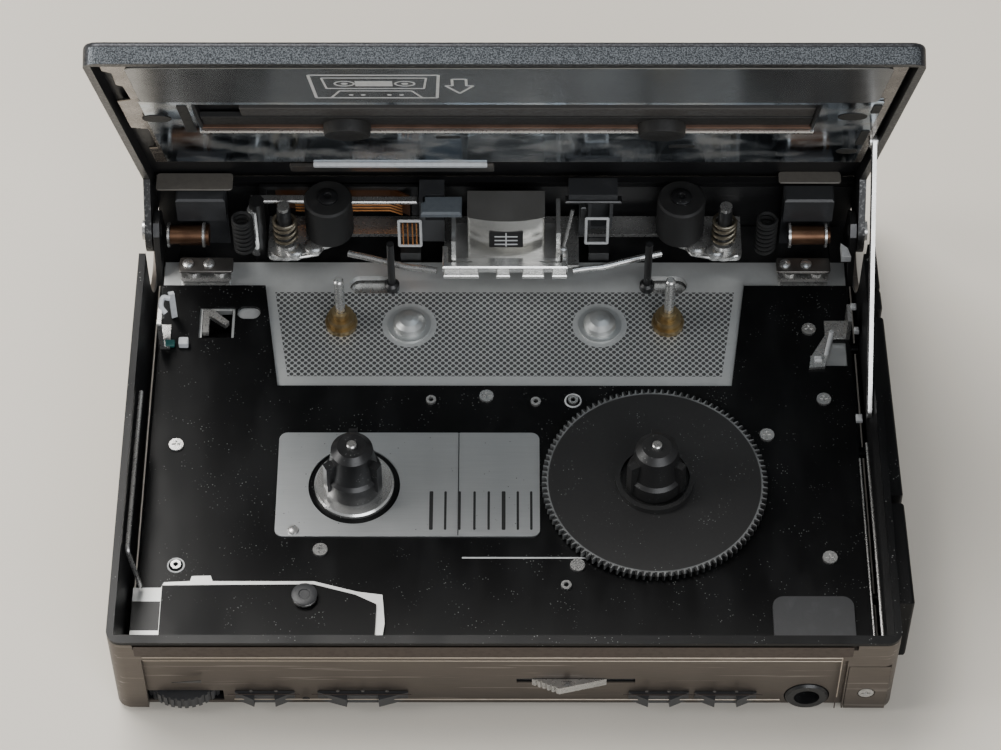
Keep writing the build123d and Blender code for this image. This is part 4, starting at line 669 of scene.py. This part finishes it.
lidMirror = {"x": (-48.4, 50.2), "front": 22.2, "back": 58.7, "lap": 0.2}
outLeft, outRight = lidMirror["x"]
lap, mirrorFront, mirrorBack = lidMirror["lap"], lidMirror["front"], lidMirror["back"]
strips = [(outLeft, mirrorFront, x0, mirrorBack), (x1, mirrorFront, outRight, mirrorBack),
          (x0 - lap, mirrorFront, x1 + lap, rows[0]), (x0 - lap, rows[4], x1 + lap, mirrorBack)]
build("lidMirror", [slab(oblong(*strip, 0.2), level["plate"], level["plateBack"], 0.08, lid)
                    for strip in strips], "mirror_metal", "lid", ("lid_plate",))
lidPanel = {"outline": (-48.1, 3.5, 49.3, 21.9), "corner": 1.3}
build("lidPanel", [slab(oblong(*lidPanel["outline"], lidPanel["corner"]), level["panel"], level["panelBack"],
                        0.1, lid)], "mirror_metal", "lid", ("lid_panel",), inks["panel"])

# the tray floor's black is painted shade in the tray's hollow
build("trayFloor", [box(x0, x1, rows[0], rows[1], 7.9, trayBack, 0.05, lid),
                    box(x0, x0 + wall, rows[0], rows[4], 6.8, trayBack, 0.1, lid),
                    box(x1 - wall, x1, rows[0], rows[4], 6.8, trayBack, 0.1, lid)],
      "black_plastic", "lid", ("lid_tray",))
build("trayStep", [box(x0 + 6.0, x1 - wall, rows[1], rows[2], 7.4, trayBack, 0.12, lid)], "dark_steel", "lid",
      paint=inks["grey"])
build("trayBand", [box(x0 + wall, x1 - wall, rows[2], rows[3], 7.2, trayBack, 0.12, lid)], "black_plastic",
      "lid", paint=inks["dark"])
lipRow = rows[4] - tray["lip"]
build("trayLip", [box(x0 + 0.2, x1 - 0.2, rows[3], lipRow, level["plate"], trayBack, 0.12, lid)],
      "copper_wire", "lid", paint=inks["copper"])
build("trayEdge", [box(x0 - lap, x1 + lap, lipRow, rows[4] + 0.1, 6.5, 8.0, 0.12, lid)], "steel", "lid")
cups = {"x": 21.5, "back": 37.0,
        "profile": [(0, 6.0), (2.4, 5.95), (2.9, 5.6), (3.1, 5.6), (3.2, 5.8), (3.3, 7.6), (0, 7.6)]}
build("lidCups", [turned(cups["profile"], (side * cups["x"], cups["back"]), lid) for side in (-1, 1)],
      "black_plastic", "lid", paint=inks["dark"])
lidStrip = {"outline": (-27.5, 59.4, -2.5, 60.6), "levels": (6.3, 6.9)}
build("lidStrip", [slab(oblong(*lidStrip["outline"], 0.2), *lidStrip["levels"], 0.08, lid)], "mirror_metal",
      "lid", paint=inks["white"])
lidFlange = {"outline": (-31.0, 60.8, -1.5, 64.2), "levels": (6.5, 7.1)}
build("lidFlange", [slab(oblong(*lidFlange["outline"], 0.3), *lidFlange["levels"], 0.1, lid)], "dark_steel",
      "lid", paint=inks["flange"])

# black patches at holes, slots and notches: painted shade where they open into the lid
lidOpeningShade = {"holes": ((-46.9, 31.6, 2.0), (46.8, 30.2, 2.0), (48.2, 51.3, 1.5)),
            "slots": ((-9.6, 42.2, -6.1, 43.4), (23.0, 47.4, 26.6, 49.2)),
            "notches": ((48.9, 23.5, 50.1, 28.0), (48.9, 38.5, 50.1, 47.0), (-43.6, 24.0, -42.2, 39.2))}
openingShades = [slab(disc(x, back, r, 28), 6.66, 6.9, 0.04, lid) for x, back, r in lidOpeningShade["holes"]]
openingShades += [slab(oblong(*slot, 0.4), 6.68, 6.9, 0.04, lid) for slot in lidOpeningShade["slots"]]
openingShades += [slab(oblong(*notch, 0.35), level["panel"], 7.0, 0.04, lid) for notch in lidOpeningShade["notches"]]
build("lidOpeningShade", openingShades, "black_plastic", "lid", paint=inks["dark"])

# Each printed line: its places, its width and whether it closes
pictogram = {
    "lines": (([(-25.0, 6.8), (-8.4, 6.8), (-8.8, 19.0), (-24.6, 19.0)], 0.4, True),
              ([(-23.4, 8.3), (-10.0, 8.3), (-10.4, 13.9), (-23.0, 13.9)], 0.28, True),
              ([(-22.6, 18.8), (-21.4, 15.2), (-12.0, 15.2), (-10.8, 18.8)], 0.3, False),
              ([(-7.6, 12.4), (-5.8, 16.5), (-4.0, 12.4), (-4.9, 12.4), (-4.9, 8.9), (-6.7, 8.9),
                (-6.7, 12.4)], 0.35, True)),
    "window": [(-19.2, 10.0), (-14.4, 10.0), (-14.4, 12.6), (-19.2, 12.6)],
    "hubs": (-20.6, -12.8), "hubBack": 11.3, "ring": 1.25, "centre": 0.45,
    "dots": (-20.0, -18.4, -15.0, -13.4), "dotBack": 17.4, "dot": 0.32}
low, high = level["ink"], level["panel"]
printed = []
for places, width, closes in pictogram["lines"]:
    printed += stroke(places, width, low, high, lid, closes)
printed += [slab(pictogram["window"], low, high, 0.01, lid)]
for x in pictogram["hubs"]:
    ring = disc(x, pictogram["hubBack"], pictogram["ring"], 20).tolist()
    printed += stroke(ring, 0.25, low, high, lid, True)
    printed += [slab(disc(x, pictogram["hubBack"], pictogram["centre"], 14), low, high, 0.01, lid)]
printed += [slab(disc(x, pictogram["dotBack"], pictogram["dot"], 12), low, high, 0.01, lid)
            for x in pictogram["dots"]]
build("lidPictogram", printed, "mirror_metal", "lid", paint=inks["pale"])
print("lid inside")

# Label on the deck: ticks, groove and rivet
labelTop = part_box("label_plate")[1][2] * 1000 - deckAt["up"]
label = {"ticks": (-10.3, -8.3, -6.3, -4.2, -2.2, -0.1, 1.9, 3.8), "wide": (0, 5), "y": (-7.5, -1.0),
         "groove": (-6.55, -6.45, -8.4, 8.9), "rivet": (-29.6, -7.6),
         "rivetProfile": [(0, 0), (0.8, 0), (0.75, 0.25), (0.4, 0.42), (0, 0.46)]}
ticks = []
for number, x in enumerate(label["ticks"]):
    half = 0.27 if number in label["wide"] else 0.17
    outline = oblong(x - half, label["y"][0], x + half, label["y"][1], 0.15)
    ticks.append(slab(outline, labelTop - 0.02, labelTop + 0.03, 0.01))
build("labelTicks", ticks + [box(*label["groove"], labelTop - 0.02, labelTop + 0.02, 0.005)], "brushed_label",
      paint=inks["dark"])
build("labelRivet", [turned(label["rivetProfile"], label["rivet"],
                            lambda places: deck(np.asarray(places) + (0, 0, labelTop - 0.02)))], "steel")
build("deckLine", [box(-5.9, 12.0, -12.12, -11.88, 0.0, 0.06, 0.02)], "steel", paint=inks["pale"])
whiteRings = {"at": ((9.9, 14.9), (-45.7, -13.3)),
              "profile": [(1.0, 0.0), (1.02, 0.1), (1.22, 0.1), (1.25, 0.0)]}
build("whiteRings", [turned(whiteRings["profile"], place) for place in whiteRings["at"]], "steel",
      paint=inks["pale"])

# Tape head: a black core window with pale lines on its front
headBox = [np.array(corner) * 1000 - (0, deckAt["back"], deckAt["up"]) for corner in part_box("tape_head")]
headFront, headMid = headBox[0][1], (headBox[0][0] + headBox[1][0]) / 2


def headFace(points):
    # rows of (x from the head's middle, height above the deck, distance out of its front face) to metres
    x, z, out = np.moveaxis(np.asarray(points, float), -1, 0)
    return deck(np.stack([x + headMid, headFront - out, z], -1))


core = {"window": (-2.5, 5.0, 2.5, 8.6), "lines": (5.6, 6.5, 7.4), "half": 1.7, "line": 0.26}
build("headWindow", [slab(oblong(*core["window"], 0.25), -0.2, 0.06, 0.03, headFace)], "black_plastic",
      "head_carriage", paint=inks["dark"])
lines = [slab(oblong(-core["half"], z, core["half"], z + core["line"], 0.05), 0.02, 0.1, 0.02, headFace)
         for z in core["lines"]]
lines.append(slab(oblong(-0.1, 5.2, 0.1, 8.4, 0.05), 0.0, 0.09, 0.02, headFace))
build("headLines", lines, "steel", "head_carriage", paint=inks["pale"])

# Rear works at the head: springs and levers on the carriage, plates on the pinch arms, hubs and caps on
# the rollers
post = {"at": (32.4, 41.35), "radius": 1.62, "wire": 0.26, "low": 4.5, "high": 8.9, "turns": 4.0,
        "profile": [(0, 4.0), (1.05, 4.0), (1.05, 11.2), (0.85, 11.5), (0, 11.5)]}
postAt = [(side * post["at"][0], post["at"][1]) for side in (-1, 1)]
build("postCoils", [coil(at, post["radius"], post["wire"], post["low"], post["high"], post["turns"])
                    for at in postAt], "steel", "head_carriage", ("post_springs",), inks["bronze"])
build("postTops", [turned(post["profile"], at) for at in postAt], "dark_steel", "head_carriage")

arm = {"outline": [(34.6, 39.2), (35.0, 41.0), (34.4, 42.8), (32.4, 43.6), (29.4, 43.0), (27.4, 42.0),
                   (26.8, 40.6), (27.6, 39.4), (30.0, 38.9), (32.6, 38.8)],
       "lever": [(23.2, 39.8, 2.7), (20.2, 39.0, 2.7), (17.2, 38.1, 2.7), (14.6, 37.3, 2.7),
                 (12.2, 36.9, 2.8), (10.0, 36.4, 2.9)],
       "screws": ((28.4, 40.6), (31.2, 39.9)),
       "screw": [(0, 2.9), (1.3, 2.9), (1.3, 3.4), (1.0, 3.6), (0.5, 3.66), (0, 3.68)],
       "roller": (26.0, 43.7), "hub": [(0, 3.2), (2.6, 3.2), (2.9, 3.5), (2.9, 4.3), (2.2, 4.5), (0, 4.5)],
       "cap": [(0, 10.85), (1.5, 10.85), (1.5, 11.3), (1.1, 11.5), (0.6, 11.52), (0.5, 11.3), (0, 11.25)]}
for side, tag in ((-1, "Left"), (1, "Right")):
    rollerAt = (side * arm["roller"][0], arm["roller"][1])
    lever = smoothed(np.array(arm["lever"]) * (side, 1, 1), 6)
    build("lever" + tag, [tube(lever, 0.5, 10)], "steel", "head_carriage")
    shapes = [slab(np.array(arm["outline"]) * np.array([side, 1]), 2.5, 2.95, 0.12)]
    shapes += [turned(arm["screw"], (side * x, y)) for x, y in arm["screws"]]
    build("armPlate" + tag, shapes, "steel", "pinch_arm_" + tag.lower())
    roller = "pinch_roller_" + tag.lower()
    build("rollerHub" + tag, [turned(arm["hub"], rollerAt)], "steel", roller, paint=inks["bright"])
    build("rollerCap" + tag, [turned(arm["cap"], rollerAt)], "black_plastic", roller)
print("carriage")

# Other rear works: a piece with no body named stands still on the case
blackCoil = {"x": 38.6, "y": 41.0, "radius": 1.35, "wire": 0.28, "low": 2.5, "high": 9.6, "turns": 8.0}
standing = [coil((side * blackCoil["x"], blackCoil["y"]), blackCoil["radius"], blackCoil["wire"],
                 blackCoil["low"], blackCoil["high"], blackCoil["turns"]) for side in (-1, 1)]
build("blackCoils", standing, "black_metal", paint=inks["dark"])
leaves = ((-51.4, 45.0, -40.1, 48.2), (40.4, 46.4, 49.6, 48.6))
build("leafPlates", [slab(oblong(*leaf, 0.5), 10.9, 11.2, 0.08) for leaf in leaves], "dark_steel",
      paint=inks["leaf"])
build("topBar", [box(-37.4, -26.6, 43.3, 44.6, 10.0, 10.6, 0.15),
                 box(-26.2, -12.9, 43.3, 44.5, 9.8, 10.4, 0.15)], "steel", "head_carriage")
chromePost = {"at": (-37.0, 42.9), "profile": [(0, -0.6), (1.0, -0.6), (1.0, 9.3), (0.85, 9.55), (0, 9.6)]}
build("chromePost", [turned(chromePost["profile"], chromePost["at"])], "chrome")
spool = {"ends": ((-49.6, -44.8), (42.4, 47.4)), "cheeks": (-50.0, -44.8, 42.05, 47.4), "y": 42.3, "z": 4.0,
         "radius": 1.45, "cheek": 1.9, "thick": 0.35}
y, z = spool["y"], spool["z"]
build("spools", [tube([(a, y, z), (b, y, z)], spool["radius"], 24) for a, b in spool["ends"]], "copper_wire",
      paint=inks["spool"])
build("spoolCheeks", [tube([(x, y, z), (x + spool["thick"], y, z)], spool["cheek"], 24)
                      for x in spool["cheeks"]], "steel")
bracket = {"x": 44.3, "half": 4.0, "y": (37.3, 40.0), "screws": (-2.7, 0.4), "screwY": 38.7,
           "screw": [(0, 1.5), (0.85, 1.5), (0.8, 1.8), (0.4, 1.95), (0, 1.95)]}
brackets = [slab(oblong(side * bracket["x"] - bracket["half"], bracket["y"][0],
                        side * bracket["x"] + bracket["half"], bracket["y"][1], 0.4), 1.0, 1.5, 0.1)
            for side in (-1, 1)]
build("rearBrackets", brackets, "dark_steel", paint=inks["flange"])
build("rearScrews", [turned(bracket["screw"], (side * bracket["x"] + x, bracket["screwY"]))
                     for side in (-1, 1) for x in bracket["screws"]], "steel")
build("teePiece", [box(8.9, 17.2, 43.2, 44.5, 10.0, 10.6), box(11.2, 12.0, 42.4, 44.5, 6.0, 10.2)],
      "dark_steel", "head_carriage")
thinFrames = {"places": ((12.0, 15.2, 41.4), (-15.6, -12.4, 40.9)), "z": (3.2, 9.0), "wire": 0.22}
bottom, top = thinFrames["z"]
wires = []
for a, b, y in thinFrames["places"]:
    corners = [(a, y, bottom), (b, y, bottom), (b, y, top), (a, y, top)]
    wires += [tube([corners[k], corners[(k + 1) % 4]], thinFrames["wire"], 8) for k in range(4)]
build("thinFrames", wires, "steel", "head_carriage", paint=inks["pale"])
build("traceLines", [tube([(x, 40.8, 3.6), (x, 40.8, 8.6)], 0.12, 6) for x in (-15.0, -14.3, -13.6, -13.0)],
      "copper_wire", "head_carriage")
build("greyBlock", [box(-12.3, -6.3, 40.4, 43.8, 10.2, 11.4, 0.3)], "grey_plastic", "head_carriage",
      paint=inks["blueGrey"])
ball = [(0, 3.3), (0.6, 3.6), (0.8, 4.1), (0.6, 4.6), (0, 4.9)]
build("ballWire", [tube(smoothed([(10.0, 42.2, 10.0), (9.3, 40.8, 7.0), (8.6, 39.4, 4.0)], 6), 0.3, 8),
                   turned(ball, (8.6, 39.4))], "steel", "head_carriage")
feet = ((-9.0, 5.2), (-1.2, 2.0), (2.6, 3.2), (7.0, 2.2))  # where each starts and how wide it is
build("bracketLip", [box(-9.2, 9.3, 36.1, 37.2, 2.7, 4.1, 0.2)]
      + [box(x, x + width, 35.2, 36.4, 2.4, 3.2, 0.15) for x, width in feet]
      + [box(x, x + 0.8, 36.2, 40.6, 2.8, 3.6, 0.15) for x in (-9.2, 8.5)], "steel", "head_carriage",
      paint=inks["bright"])

# Ribbon's copper traces, hooks beside the left wall, bits and rails beside the right one, and the latch's cap
ribbonBox = [np.array(corner) * 1000 - (0, deckAt["back"], deckAt["up"]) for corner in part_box("ribbon_cable")]
(left, ribbonFront, bottom), (right, _, top) = ribbonBox
y = ribbonFront - 0.02
build("ribbonTraces", [tube([(left + 3, y, z), (right - 3.0, y, z), (right - 1.2, y, z - 0.9)], 0.14, 6)
                       for z in np.linspace(bottom + 1.2, top - 0.7, 5)], "copper_wire")
hook = [(-49.2, 26.6, 5.4), (-49.9, 27.4, 6.0), (-49.7, 28.8, 6.2), (-48.8, 29.0, 5.8)]
build("leftHooks", [tube(smoothed(hook, 6), 0.4, 8),
                    slab([(-48.9, 29.5), (-48.1, 29.8), (-48.3, 30.3), (-49.1, 30.1)], 0.2, 6.0, 0.1),
                    slab(oblong(-47.6, 24.2, -46.2, 25.5, 0.2), 0.1, 1.2, 0.1)], "steel", paint=inks["white"])
build("tealBit", [slab(oblong(-49.6, 24.3, -48.2, 25.4, 0.2), 0.1, 0.7, 0.1)], "grey_plastic",
      paint=plainPaint("teal", (0.02, 0.12, 0.11), 0.4))
blocks = ((50.4, 51.2, 27.9, 28.8, 4.4, 5.2), (50.9, 51.6, 25.2, 26.0, 2.2, 3.2),
          (50.2, 51.1, 9.4, 10.6, 2.2, 3.0), (45.1, 46.2, 21.5, 22.4, 0.1, 1.0))
build("rightBits", [box(*block) for block in blocks]
      + [tube([(46.9, 23.0, 0.4), (47.4, 24.0, 4.6)], 0.35, 10),
         slab([(49.6, 37.2), (51.0, 37.2), (50.6, 38.8), (49.6, 39.8)], 4.0, 5.4, 0.1)], "steel",
      paint=inks["pale"])
rails = [tube([(51.3, 5.0, 3.6), (51.4, -12.0, 3.7), (51.4, -29.0, 3.6)], 0.22, 8),
         tube([(50.5, 4.0, 1.2), (50.6, -28.0, 1.2)], 0.16, 8)]
build("rightRails", rails, "steel")
latchCap = {"at": (-27.5, -19.2),
            "profile": [(0, 1.85), (1.78, 1.85), (1.78, 2.0), (1.5, 2.12), (0.8, 2.12), (0.7, 2.0), (0, 2.0)]}
build("latchHeadCap", [turned(latchCap["profile"], latchCap["at"])], "black_plastic",
      paint=paints["grey_plastic"])
print("rear and side works")

# Front face: a dimple's painted shade, thin bright lines, a brown band, grooves, dots and wedges
# painted shade: a flat dark mark stands for a small dent
build("frontDimpleShade", [slab(oblong(-27.5, -3.8, -26.5, -2.9, 0.4), -0.1, 0.05, 0.02, face)], "fascia_metal",
      paint=inks["dark"])
frontLines = (((-48.4, 7.55, 45.3, 7.75), 0.08, 0.10), ((-48.4, 6.75, 45.3, 6.9), 0.06, 0.08),
              ((-36.8, -3.45, 37.6, -3.3), 0.06, 0.08), ((45.2, -2.6, 45.34, 7.7), 0.05, 0.09))
build("frontLines", [slab(oblong(*outline, corner), -0.08, out, 0.03, face)
                     for outline, corner, out in frontLines], "fascia_metal", paint=inks["line"])
build("frontBand", [slab(oblong(-49.4, 7.9, 46.6, 10.3, 0.2), -0.1, 0.03, 0.01, face)], "fascia_metal",
      paint=inks["bandBrown"])
grooves = [box(a, b, -2.2, -2.2 + 0.12, -0.05, 0.04, 0.01, face)
           for a, b in ((-37.6, -27.8), (-26.2, -12.6), (16.2, 25.8), (25.9, 35.2))]
grooves += [box(45.1, 45.25, -5.6, 4.2, -0.05, 0.05, 0.01, face)]
build("frontGrooves", grooves, "fascia_metal", paint=inks["brown"])
dotsAt = (-34.4, -31.0, -22.6, -19.2, -15.9, 19.4, 22.4, 28.6, 31.6)
build("frontDots", [slab(disc(x, -1.2, 0.24, 14), -0.05, 0.05, 0.01, face) for x in dotsAt], "fascia_metal",
      paint=inks["grey"])
wedges = ([(-45.0, 1.0), (-41.0, 1.6), (-41.0, 1.0)], [(8.0, 1.4), (9.2, 1.4), (8.6, 0.6)])
build("frontWedges", [slab(wedge, -0.05, 0.05, 0.01, face) for wedge in wedges], "fascia_metal",
      paint=inks["grey"])
print("front face")
